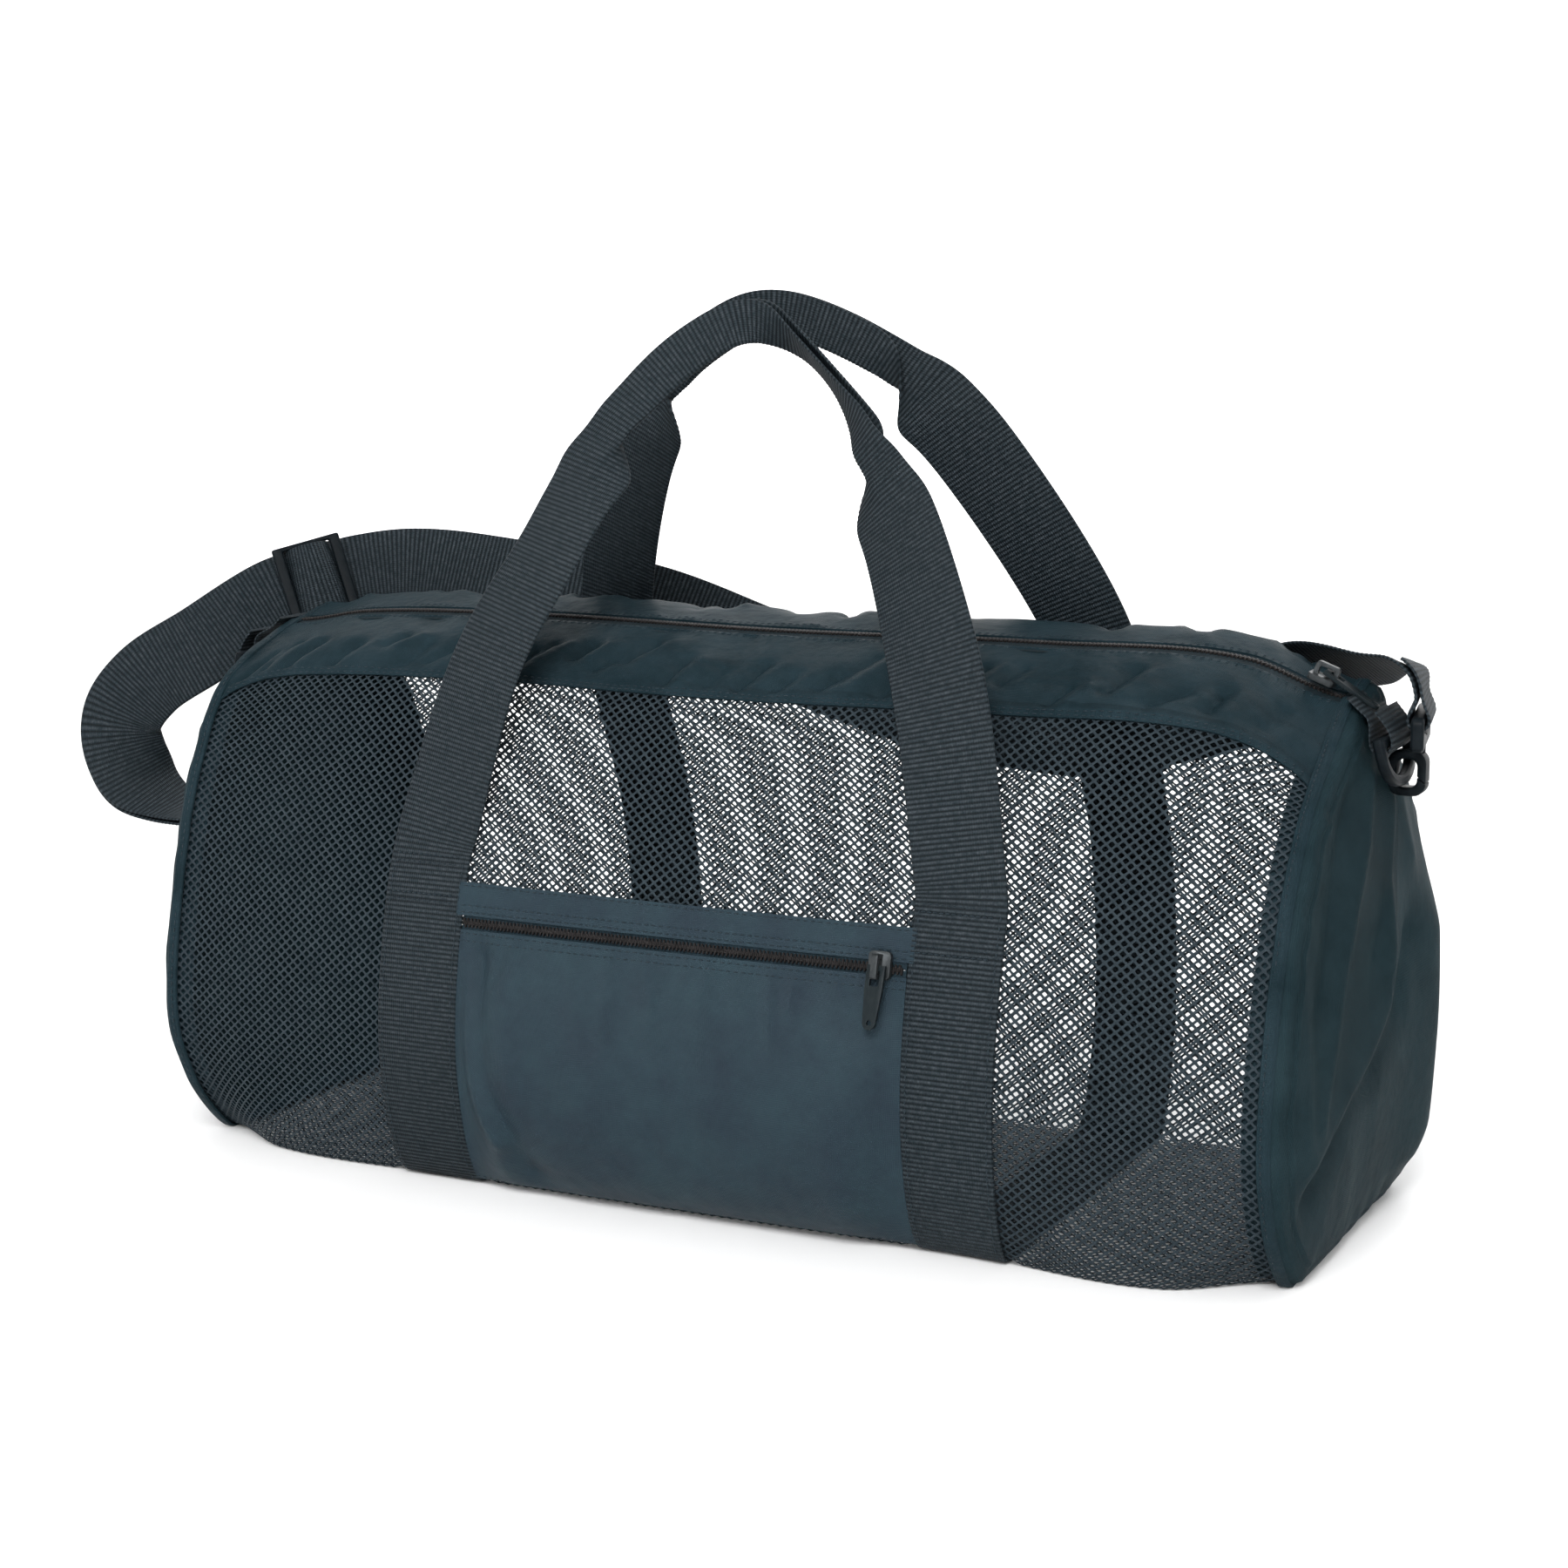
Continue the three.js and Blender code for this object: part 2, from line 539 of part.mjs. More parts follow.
// Pull: crossbar on the local Y axis, blade along +X
const PULL = { bar: 1, slotEnd: 7.2, slotHalf: 1.9, headHalf: 3.7, tipHalf: 2.7, length: 24, thick: 1.6 };
function pull() {
  const blade = new THREE.Shape();
  blade.moveTo(-PULL.bar, -PULL.headHalf);
  blade.lineTo(PULL.slotEnd + 1, -PULL.headHalf);
  blade.lineTo(PULL.length - PULL.tipHalf, -PULL.tipHalf);
  blade.absarc(PULL.length - PULL.tipHalf, 0, PULL.tipHalf, -Math.PI / 2, Math.PI / 2, false);
  blade.lineTo(PULL.slotEnd + 1, PULL.headHalf);
  blade.lineTo(-PULL.bar, PULL.headHalf);
  blade.closePath();
  blade.holes.push(roundedRect(PULL.bar, -PULL.slotHalf, PULL.slotEnd, PULL.slotHalf, 0.6,
    new THREE.Path()));
  const eye = new THREE.Path();
  eye.absarc(PULL.length - PULL.tipHalf, 0, 1.1, 0, Math.PI * 2, true);
  blade.holes.push(eye);
  return plate(blade, PULL.thick, 0, 4);
}

// A frame at origin with local X along and local Z out
function place(geometry, origin, along, out) {
  const y = out.clone().cross(along).normalize();
  const x = y.clone().cross(out).normalize();
  const basis = new THREE.Matrix4().makeBasis(x, y, out.clone().normalize()).setPosition(origin);
  return geometry.applyMatrix4(basis);
}

function zipHardware(label, seat, along, out, restAngle) {
  const pivot = seat.clone().addScaledVector(out, PIVOT_Z);
  add(`${label}_slider`, place(slider(), seat, along, out), METAL);
  add(`${label}_pull`, place(pull().rotateY(restAngle), pivot, along, out), METAL);
}

const TOP_SLIDER_X = 234;
const TOP_PULL_DROP = THREE.MathUtils.degToRad(12);
const topBefore = bodyPoint(TOP_SLIDER_X - 6, zipMiddle);
const topAfter = bodyPoint(TOP_SLIDER_X + 6, zipMiddle);
const topAlong = topAfter.clone().sub(topBefore).setY(0).normalize();
const topOut = new THREE.Vector3(-topAlong.z, 0, topAlong.x);
const topSeat = bodyPoint(TOP_SLIDER_X, zipMiddle).addScaledVector(topOut, COIL_HEIGHT + GAP + 0.2);
zipHardware('top_zip', topSeat, topAlong, topOut, TOP_PULL_DROP);

const POCKET_SLIDER_X = POCKET_RIGHT - 10;
const POCKET_PULL_LIFT = THREE.MathUtils.degToRad(-6);
const pocketOut = bodyPoint(POCKET_SLIDER_X, POCKET_ZIP, 1).sub(bodyPoint(POCKET_SLIDER_X, POCKET_ZIP));
const pocketDown = new THREE.Vector3(1, 0, 0).cross(pocketOut);
const pocketSeat = bodyPoint(POCKET_SLIDER_X, POCKET_ZIP, POCKET_SEAT + COIL_HEIGHT / 2 + GAP);
zipHardware('pocket_zip', pocketSeat, pocketDown.normalize(), pocketOut.normalize(), POCKET_PULL_LIFT);

// D-rings hang from webbing tabs at the top of the end panels, tipped out at the foot
const RING_BAR = 4.4;
const RING_HALF = 22.5;
const RING_TALL = 21;
const RING_STRAIGHT = 8; // straight sides above the bow
const RING_TIP = THREE.MathUtils.degToRad(14);

function bowOutline(path, half, top, foot) {
  path.moveTo(-half, top);
  path.lineTo(-half, -RING_STRAIGHT);
  path.absellipse(0, -RING_STRAIGHT, half, foot - RING_STRAIGHT, Math.PI, Math.PI * 2, false);
  path.lineTo(half, top);
  path.closePath();
  return path;
}

function dRing({ side, ringX, ringZ }) {
  const outline = bowOutline(new THREE.Shape(), RING_HALF, 0, RING_TALL);
  outline.holes.push(bowOutline(new THREE.Path(), RING_HALF - RING_BAR, -RING_BAR,
    RING_TALL - RING_BAR));
  return plate(outline, RING_BAR, 0.9, 6)
    .rotateX(Math.PI / 2)
    .rotateZ(Math.PI / 2)
    .rotateY(-side * RING_TIP)
    .translate(side * ringX, 0, ringZ);
}

// A tab folded round the ring's bar and sewn flat to the panel above it
const TAB_WIDTH = 34;
const TAB_THICK = 1.4;
const TAB_TOP = 10; // above the middle of the bar
const TAB_CLOSE = 0.1; // how near its two ends come, as a share of the fold
function ringTab({ side, ringX, ringZ }) {
  const barZ = ringZ - RING_BAR / 2;
  const turn = RING_BAR * Math.SQRT1_2 + GAP + TAB_THICK / 2;
  const point = (reach, z) => new THREE.Vector3(side * (ringX + reach), 0, z);
  const points = [
    point(-turn, barZ + TAB_TOP),
    ...steps(0, Math.PI, 8).map((angle) =>
      point(-turn * Math.cos(angle), barZ - turn * Math.sin(angle))),
    point(turn * TAB_CLOSE, barZ + TAB_TOP),
  ];
  const directions = tangents(points);
  return webbing(points.map((place, i) => webRow(place, directions[i],
    directions[i].clone().cross(new THREE.Vector3(0, 1, 0)), TAB_WIDTH, TAB_THICK)));
}

// Snap hook: a closed loop with a spring tongue, on a pin that stands in the base
const LOOP = { half: 7.5, tall: 18, wall: 3.4, width: 8, slit: 0.6, slitZ: 6.5, slitTurn: 0.6 };
const PIN_RADIUS = 2.2;
const PIN_LENGTH = 8;
const BASE = { half: 23.5, tall: 13.5, thick: 5, slotHalf: 20, barTall: 3.4, slotTall: 5.2, neck: 2 };
const BASE_FOOT = LOOP.tall + BASE.neck; // from the loop's foot to the base
const BAR_REACH = BASE_FOOT + BASE.tall - BASE.barTall / 2; // from the loop's foot to the strap's bar

// Local Z runs from the loop's foot to the base
function snapHook(pinShift) {
  const loop = roundedRect(-LOOP.half, 0, LOOP.half, LOOP.tall, 5);
  loop.holes.push(roundedRect(-LOOP.half + LOOP.wall, LOOP.wall, LOOP.half - LOOP.wall,
    LOOP.tall - LOOP.wall, 3, new THREE.Path()));
  const ring = plate(loop, LOOP.width, 0.8, 3).rotateX(Math.PI / 2);
  const slit = new THREE.BoxGeometry(LOOP.wall * 2, LOOP.width * 2, LOOP.slit)
    .rotateY(LOOP.slitTurn)
    .translate(LOOP.half - LOOP.wall / 2, 0, LOOP.slitZ);
  const pin = new THREE.CylinderGeometry(PIN_RADIUS, PIN_RADIUS, PIN_LENGTH, 12)
    .rotateX(Math.PI / 2)
    .translate(pinShift, 0, LOOP.tall - 1 + PIN_LENGTH / 2);
  return join(cut(ring, slit), pin);
}

// Base: a frame whose far bar carries the strap, bored for the hook's pin
function hookBase() {
  const outline = roundedRect(-BASE.half, 0, BASE.half, BASE.tall, 3);
  outline.holes.push(roundedRect(-BASE.slotHalf, BASE.tall - BASE.barTall - BASE.slotTall,
    BASE.slotHalf, BASE.tall - BASE.barTall, 0.8, new THREE.Path()));
  const frame = plate(outline, BASE.thick, 0.8, 2).rotateX(Math.PI / 2).rotateZ(Math.PI / 2);
  const bore = new THREE.CylinderGeometry(PIN_RADIUS + GAP, PIN_RADIUS + GAP, BASE.tall, 12)
    .rotateX(Math.PI / 2);
  return cut(frame, bore);
}

// Each end's ring, where its hook's loop hangs, whether the hook stands up (1) or hangs (-1), how
// far its base is moved out and how far it has swivelled on the pin, in degrees
const HOOKS = {
  left: { side: -1, ringX: 266, ringZ: 209, x: -271.5, y: 0, z: 198.2, up: -1, baseShift: 0, swivel: 0 },
  right: { side: 1, ringX: 260.6, ringZ: 204, x: 265.7, y: 9, z: 178.5, up: 1, baseShift: 4.2, swivel: 10 },
};
const stand = (hook, geometry) => geometry
  .rotateY(hook.up > 0 ? 0 : Math.PI)
  .translate(hook.x, hook.y, hook.z);
for (const [label, hook] of Object.entries(HOOKS)) {
  add(`ring_${label}`, dRing(hook), PLASTIC);
  add(`ring_tab_${label}`, ringTab(hook), WEBBING);
  add(`snap_hook_${label}`, stand(hook, snapHook(hook.baseShift)), PLASTIC);
  const base = hookBase().rotateZ(THREE.MathUtils.degToRad(hook.swivel));
  add(`hook_base_${label}`, stand(hook, base.translate(hook.baseShift, 0, BASE_FOOT)), PLASTIC);
}

// Shoulder strap: the middle of its run from the left hook's bar to the right one's, with the
// direction that its width takes
function barAt(hook, above = 0) {
  const angle = THREE.MathUtils.degToRad(hook.swivel);
  return {
    x: hook.x + hook.baseShift, y: hook.y, z: hook.z + hook.up * (BAR_REACH + above),
    wx: Math.sin(angle), wy: -Math.cos(angle), wz: 0,
  };
}
const STRAP_RUN = [
  barAt(HOOKS.left),
  barAt(HOOKS.left, 10),
  { x: -288, y: 0, z: 131, wx: 0, wy: -1, wz: 0 },
  { x: -313, y: -2, z: 128, wx: -0.15, wy: -0.97, wz: 0 },
  { x: -337, y: -6, z: 141, wx: -0.55, wy: -0.8, wz: 0 },
  { x: -346, y: -9, z: 168, wx: -0.92, wy: -0.38, wz: 0 },
  { x: -332, y: -6, z: 190, wx: -0.75, wy: -0.25, wz: 0.6 },
  { x: -307, y: 6, z: 208, wx: -0.6, wy: -0.1, wz: 0.78 },
  { x: -286, y: 34, z: 227.5, wx: -0.3, wy: 0.1, wz: 0.93 },
  { x: -270, y: 47, z: 233, wx: -0.3, wy: 0.1, wz: 0.93 },
  { x: -254, y: 60, z: 238.5, wx: -0.3, wy: 0.1, wz: 0.93 },
  { x: -226, y: 69, z: 242, wx: -0.1, wy: 0.3, wz: 0.92 },
  { x: -182, y: 73, z: 239, wx: 0, wy: 0.4, wz: 0.91 },
  { x: -114, y: 93, z: 227, wx: 0.1, wy: 0.3, wz: 0.95 },
  { x: -50, y: 107, z: 204, wx: 0.1, wy: 0.25, wz: 0.96 },
  { x: 20, y: 113, z: 184, wx: 0, wy: 0.2, wz: 0.97 },
  { x: 90, y: 112, z: 177, wx: 0, wy: 0.15, wz: 0.98 },
  { x: 142, y: 100, z: 188, wx: 0, wy: 0, wz: 1 },
  { x: 187, y: 71, z: 206, wx: -0.15, wy: -0.5, wz: 0.85 },
  { x: 220, y: 45, z: 223, wx: -0.3, wy: -0.72, wz: 0.6 },
  { x: 246, y: 29.5, z: 226, wx: -0.15, wy: -0.9, wz: 0.4 },
  { x: 258, y: 20.5, z: 229, wx: 0, wy: -0.96, wz: 0.25 },
  { x: 267, y: 13, z: 226.5, wx: 0.1, wy: -0.98, wz: 0.1 },
  barAt(HOOKS.right, 8.5),
  barAt(HOOKS.right),
];
const LAYER = 1.15; // each doubled layer's distance from the run
const BAR_TURN = 4.2; // and round a bar
const ROWS_PER_KEY = 2;
const TURN_STEPS = 6;
const SEWN_BACK = 4.2; // doubled stretch at the right hook, in rows of the table
const ADJUSTER_AT = 9; // place of the adjuster, in rows of the table

const strapMiddle = new THREE.CatmullRomCurve3(
  STRAP_RUN.map((row) => new THREE.Vector3(row.x, row.y, row.z)), false, 'catmullrom', 0.5);
const strapWidth = new THREE.CatmullRomCurve3(
  STRAP_RUN.map((row) => new THREE.Vector3(row.wx, row.wy, row.wz)), false, 'catmullrom', 0.5);
const LAST = STRAP_RUN.length - 1;

// The strap lies square to its run, and over the right corner along the table's width as it is
const CORNER_FROM = LAST - 6;
const CORNER_FULL = LAST - 3.5;

function strapFrame(key) {
  const t = THREE.MathUtils.clamp(key / LAST, 0, 1);
  const run = strapMiddle.getTangent(t);
  const width = strapWidth.getPoint(t).normalize();
  const out = run.clone().cross(width).normalize();
  const across = out.clone().cross(run)
    .lerp(width, THREE.MathUtils.smoothstep(key, CORNER_FROM, CORNER_FULL))
    .normalize();
  return { point: strapMiddle.getPoint(t), along: across.cross(out), out };
}

// Adjuster: a frame with two slots; the strap runs under its end bars and over its middle bar
const ADJUSTER = { half: 16, wide: 23, thick: 3.6, slotFrom: 2.3, slotTo: 11.6, slotWide: 19.8 };
const ADJUSTER_SEAT = LAYER + WEB_THICK / 2 + 2 * GAP;
const BAR_LOW = 1.4; // how far the middle bar lies below the frame's top
const HUMP = ADJUSTER_SEAT + ADJUSTER.thick - BAR_LOW + 2 * GAP + WEB_THICK / 2;
const HUMP_ROWS = [
  { at: 20, lift: LAYER },
  { at: 12.5, lift: LAYER },
  { at: 10.6, lift: LAYER + 0.1 },
  { at: 3.2, lift: HUMP },
  { at: 0, lift: HUMP },
];
const keyLength = strapMiddle.getPoint((ADJUSTER_AT + 0.05) / LAST)
  .distanceTo(strapMiddle.getPoint((ADJUSTER_AT - 0.05) / LAST)) / 0.1;
const humpRows = [
  ...HUMP_ROWS.map((row) => ({ key: ADJUSTER_AT - row.at / keyLength, lift: row.lift })),
  ...HUMP_ROWS.slice(0, -1).reverse().map((row) => ({ key: ADJUSTER_AT + row.at / keyLength, lift: row.lift })),
];

function layerAt(key) {
  const near = Math.min(key, LAST - key);
  return THREE.MathUtils.lerp(BAR_TURN, LAYER, THREE.MathUtils.smoothstep(near, 0, 1));
}

function strapRow(key, side, lift) {
  const frame = strapFrame(key);
  const along = frame.along.clone().multiplyScalar(side);
  const out = frame.out.clone().multiplyScalar(side);
  const row = webRow(frame.point.addScaledVector(out, lift), along, out, WEB_WIDTH, WEB_THICK);
  return { ...row, under: side < 0 };
}

function barTurn(key, forward) {
  const { point, along, out } = strapFrame(key);
  return steps(0, Math.PI, TURN_STEPS).slice(1, -1).map((angle) => {
    const radial = out.clone().multiplyScalar(forward * Math.cos(angle))
      .addScaledVector(along, forward * Math.sin(angle));
    const direction = along.clone().multiplyScalar(forward * Math.cos(angle))
      .addScaledVector(out, -forward * Math.sin(angle));
    return webRow(point.clone().addScaledVector(radial, BAR_TURN), direction, radial,
      WEB_WIDTH, WEB_THICK);
  });
}

function shoulderStrap() {
  const humpFrom = humpRows[0].key;
  const humpTo = humpRows[humpRows.length - 1].key;
  const even = steps(0, LAST, LAST * ROWS_PER_KEY);
  const mainRows = [
    ...even.filter((key) => key < humpFrom - 0.1).map((key) => ({ key, lift: layerAt(key) })),
    ...humpRows,
    ...even.filter((key) => key > humpTo + 0.1).map((key) => ({ key, lift: layerAt(key) })),
  ];
  const underLeft = [ADJUSTER_AT, ...even.filter((key) => key < ADJUSTER_AT - 0.1).reverse()];
  const underRight = even.filter((key) => key > LAST - SEWN_BACK).reverse();
  return webbing([
    ...underLeft.map((key) => strapRow(key, -1, layerAt(key))),
    ...barTurn(0, -1),
    ...mainRows.map((row) => strapRow(row.key, 1, row.lift)),
    ...barTurn(LAST, 1),
    ...underRight.map((key) => strapRow(key, -1, layerAt(key))),
  ]);
}
add('shoulder_strap', shoulderStrap(), WEBBING);

function strapAdjuster() {
  const frame = roundedRect(-ADJUSTER.half, -ADJUSTER.wide, ADJUSTER.half, ADJUSTER.wide, 3);
  for (const end of [-1, 1]) {
    const [near, far] = [end * ADJUSTER.slotFrom, end * ADJUSTER.slotTo];
    frame.holes.push(roundedRect(Math.min(near, far), -ADJUSTER.slotWide, Math.max(near, far),
      ADJUSTER.slotWide, 0.8, new THREE.Path()));
  }
  const solid = plate(frame, ADJUSTER.thick, 0, 2).translate(0, 0, ADJUSTER.thick / 2);
  const notch = new THREE.BoxGeometry(2 * ADJUSTER.slotTo, 2 * ADJUSTER.slotWide, BAR_LOW * 2)
    .translate(0, 0, ADJUSTER.thick);
  return cut(solid, notch);
}
const adjusterFrame = strapFrame(ADJUSTER_AT);
add('strap_adjuster', place(strapAdjuster(),
  adjusterFrame.point.clone().addScaledVector(adjusterFrame.out, ADJUSTER_SEAT),
  adjusterFrame.along, adjusterFrame.out), PLASTIC);

export default bag;
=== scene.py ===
# %% [markdown]
# # Mesh roll bag
# A sports bag sewn from open net, with nylon along its top zip and at both ends, two webbing handles that
# run right round it, a zipped pocket between them and a shoulder strap on hooks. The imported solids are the
# fixed frame: this script dresses them with cloth, webbing and hardware, in metres and in the same place.

# %% Load the frame
import math

import bpy
import numpy as np
from mathutils import Matrix, Vector


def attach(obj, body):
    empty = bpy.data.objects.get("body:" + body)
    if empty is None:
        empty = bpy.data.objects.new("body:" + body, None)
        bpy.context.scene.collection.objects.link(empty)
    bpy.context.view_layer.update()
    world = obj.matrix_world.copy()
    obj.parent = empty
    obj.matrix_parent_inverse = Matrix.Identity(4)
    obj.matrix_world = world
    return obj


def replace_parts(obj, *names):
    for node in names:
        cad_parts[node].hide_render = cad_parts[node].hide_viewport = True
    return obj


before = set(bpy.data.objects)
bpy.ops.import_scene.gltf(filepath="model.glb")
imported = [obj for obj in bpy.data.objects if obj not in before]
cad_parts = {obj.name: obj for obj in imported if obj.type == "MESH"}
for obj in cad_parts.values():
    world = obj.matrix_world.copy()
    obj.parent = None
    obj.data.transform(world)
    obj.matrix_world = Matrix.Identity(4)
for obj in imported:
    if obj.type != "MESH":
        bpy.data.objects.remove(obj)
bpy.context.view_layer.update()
bpy.ops.object.select_all(action="DESELECT")
MM = 0.001  # the tables below are in millimetres, as a maker would measure the bag

# %% [markdown]
# ## Camera
# The view is a little above the bag and to its right. The camera stands at a distance found from the bag's
# own vanishing lines, and looks slightly above the bag, so that the bag sits low in the square frame.
# A shifted lens would do the same, but an aimed camera frames the other views better.

# %% Camera
CAMERA_AZIMUTH = math.radians(25.73)
CAMERA_RISE = math.radians(11.78)
CAMERA_DISTANCE = 1.2419
CAMERA_TARGET = Vector((0, 0, 0.1181))
CAMERA_LENS = 66.23  # mm on a 36 mm wide sensor
CAMERA_LOOK_UP = math.radians(2.11)

camera = bpy.data.objects.new("camera", bpy.data.cameras.new("camera"))
bpy.context.scene.collection.objects.link(camera)
bpy.context.scene.camera = camera
back = Vector((
    math.sin(CAMERA_AZIMUTH) * math.cos(CAMERA_RISE),
    -math.cos(CAMERA_AZIMUTH) * math.cos(CAMERA_RISE),
    math.sin(CAMERA_RISE),
))
camera.data.lens = CAMERA_LENS
camera.data.clip_start = 0.05
camera.data.clip_end = 50
aim = (-back).to_track_quat("-Z", "Y").to_matrix() @ Matrix.Rotation(CAMERA_LOOK_UP, 3, "X")
camera.matrix_world = Matrix.Translation(CAMERA_TARGET + back * CAMERA_DISTANCE) @ aim.to_4x4()
print("camera at", [round(v, 3) for v in camera.location])

# %% [markdown]
# ## The bag's form
# A soft roll bag has no flat sides: its cross-section is a rounded loop that is widest near the bottom and
# slopes in to the zip. It could be sculpted, but cloth is easier to lay on a formula. So each place on the
# surface has a length x and a key u that counts round the loop: 14 is under the middle, 15 the front edge of
# the underside, 16 belly, 17 chest, 18 flank, 19 shoulder, 20 and 21 the zip's sides, 23 the back shoulder.
# Rows of half-depths along the length are joined by smooth curves, the same as in the solids.

# %% Cross-sections along the length
SEAM_X = 246
LEG_X = {"left": -116, "right": 122}
WEB_WIDTH = 38
WEB_HALF = WEB_WIDTH / 2
WEB_THICK = 1.8
GAP = 0.4
WEB_SEAT = GAP + WEB_THICK
SOLE_Z, BELLY_Z, CHEST_Z, FLANK_Z = -2, 50, 125, 172
SHOULDER_DROP, ZIP_DROP, ZIP_TILT, ZIP_HALF = 25, 4, 1, 6
CREST_SHARE = 0.45
# x: sole, belly, chest, flank, shoulder half-depths, crest height, zip's offset
SECTIONS = {
    -246: (62, 104, 97, 81, 60, 227, -4),
    -205: (84, 108, 100, 82, 61, 233, -8),
    -116: (87, 109, 101, 81, 60, 236, -11),
    0: (88, 109, 102, 83, 62, 235, -12),
    122: (87, 109, 101, 81, 60, 236, -11),
    205: (92, 108, 99, 77, 52, 233.5, -7),
    246: (65, 105, 95, 70, 43, 220, -3),
}
stations = np.array(list(SECTIONS), float)
section_rows = np.array(list(SECTIONS.values()), float)
spans = np.diff(stations)[:, None]
grades = np.diff(section_rows, axis=0) / spans
slopes = np.zeros_like(section_rows)
slopes[1:-1] = (grades[1:] + grades[:-1]) / 2


def cubic(start, end, leave, arrive, w):
    """Places and directions on a smooth line from start to end, as w goes from 0 to 1."""
    square = 3 * (end - start) - 2 * leave - arrive
    cube = 2 * (start - end) + leave + arrive
    return start + leave * w + square * w**2 + cube * w**3, leave + 2 * square * w + 3 * cube * w**2


def section_at(x):
    """Half-depths, crest height and zip offset at lengths x, on smooth lines through the table."""
    i = np.clip(np.searchsorted(stations, x, side="right") - 1, 0, len(stations) - 2)
    span = spans[i]
    share = (x - stations[i])[:, None] / span
    places, _ = cubic(section_rows[i], section_rows[i + 1], slopes[i] * span, slopes[i + 1] * span, share)
    return places


def section_keys(x):
    """The 14 corner points (y, z) of the cross-section at each length x."""
    sole, belly, chest, flank, shoulder, crest, zip_y = section_at(x).T
    level = np.ones_like(x)
    keys = [
        (0 * level, SOLE_Z * level),
        (-sole, SOLE_Z * level), (-belly, BELLY_Z * level), (-chest, CHEST_Z * level),
        (-flank, FLANK_Z * level), (-shoulder, crest - SHOULDER_DROP),
        (zip_y - ZIP_HALF, crest - ZIP_DROP - ZIP_TILT), (zip_y + ZIP_HALF, crest - ZIP_DROP + ZIP_TILT),
        (CREST_SHARE * shoulder, crest), (shoulder, crest - SHOULDER_DROP), (flank, FLANK_Z * level),
        (chest, CHEST_Z * level), (belly, BELLY_Z * level), (sole, SOLE_Z * level),
    ]
    return np.stack([np.stack(key, -1) for key in keys], axis=1)


print("sections at", stations.tolist())

# %% A point on the bag's surface
FLOOR_LIFT, FLOOR_LIFT_FROM, LIFT_FADE, LIFT_MARGIN = 1, 195, 6, 1
LOOP_KEYS = 14  # keys once round the loop
BACK_SHOULDER, UNDER_KEY, FRONT_SHOULDER = 9, 14, 19
LOOP_END = BACK_SHOULDER + LOOP_KEYS
GIRTH_PLACES = 1401


def floor_at(x):
    """Height of the underside: it rises at the ends and over the two straps beneath it."""
    past = np.maximum(0, np.abs(x) - FLOOR_LIFT_FROM) / (SEAM_X - FLOOR_LIFT_FROM)
    away = np.min([np.abs(x - leg) for leg in LEG_X.values()], axis=0) - WEB_HALF - LIFT_MARGIN
    return FLOOR_LIFT * past**2 + WEB_SEAT * np.clip(1 - away / LIFT_FADE, 0, 1)


def bend(p0, p1, p2, p3):
    """How an evenly bending line leaves p1 and arrives at p2, between its neighbours p0 and p3."""
    legs = ((p0, p1), (p1, p2), (p2, p3))
    d0, d1, d2 = (np.sqrt(np.linalg.norm(b - a, axis=1))[:, None] for a, b in legs)
    leave = ((p1 - p0) / d0 - (p2 - p0) / (d0 + d1) + (p2 - p1) / d1) * d1
    arrive = ((p2 - p1) / d1 - (p3 - p1) / (d1 + d2) + (p3 - p2) / d2) * d1
    return leave, arrive


def body_point(x, u, offset=0.0):
    """Points in mm on the bag's outside at lengths x and keys u, moved out by offset."""
    x, u, offset = (np.array(v, float) for v in np.broadcast_arrays(x, u, offset))
    shape = x.shape
    x, u, offset = x.ravel(), u.ravel(), offset.ravel()
    keys = section_keys(x)
    first = np.floor(u).astype(int)
    p0, p1, p2, p3 = (keys[np.arange(len(x)), (first + k) % LOOP_KEYS] for k in (-1, 0, 1, 2))
    point, tangent = cubic(p1, p2, *bend(p0, p1, p2, p3), (u - first)[:, None])
    tangent /= np.linalg.norm(tangent, axis=1)[:, None]
    normal = np.stack([-tangent[:, 1], tangent[:, 0]], -1)
    floor = floor_at(x)
    low = point[:, 1] < floor
    point[low, 1] = floor[low]
    normal[low] = (0, -1)
    yz = point + normal * offset[:, None]
    return np.stack([x, yz[:, 0], yz[:, 1]], -1).reshape(*shape, 3)


girth_keys = np.linspace(BACK_SHOULDER, LOOP_END, GIRTH_PLACES)
girth_points = body_point(np.zeros_like(girth_keys), girth_keys)
girth_steps = np.linalg.norm(np.diff(girth_points, axis=0), axis=1)
girth_length = np.concatenate([[0], np.cumsum(girth_steps)])
print("girth in mm", round(float(girth_length[-1])))


def key_at(length):
    """The key that many mm of cloth from the back shoulder row, in the middle of the bag."""
    return np.interp(length, girth_length, girth_keys)


def length_at(key):
    """The mm of cloth from the back shoulder row to a key, in the middle of the bag."""
    return np.interp(key, girth_keys, girth_length)


# %% [markdown]
# ## Helpers for cloth
# Nylon, tape and webbing are all thin walls over a grid of points. One helper turns such a grid into a closed
# mesh with a real thickness, and gives it a UV map in metres, so that a weave keeps its scale wherever the
# cloth bends. Small creases come from a smooth seeded noise, so they are the same in every run.

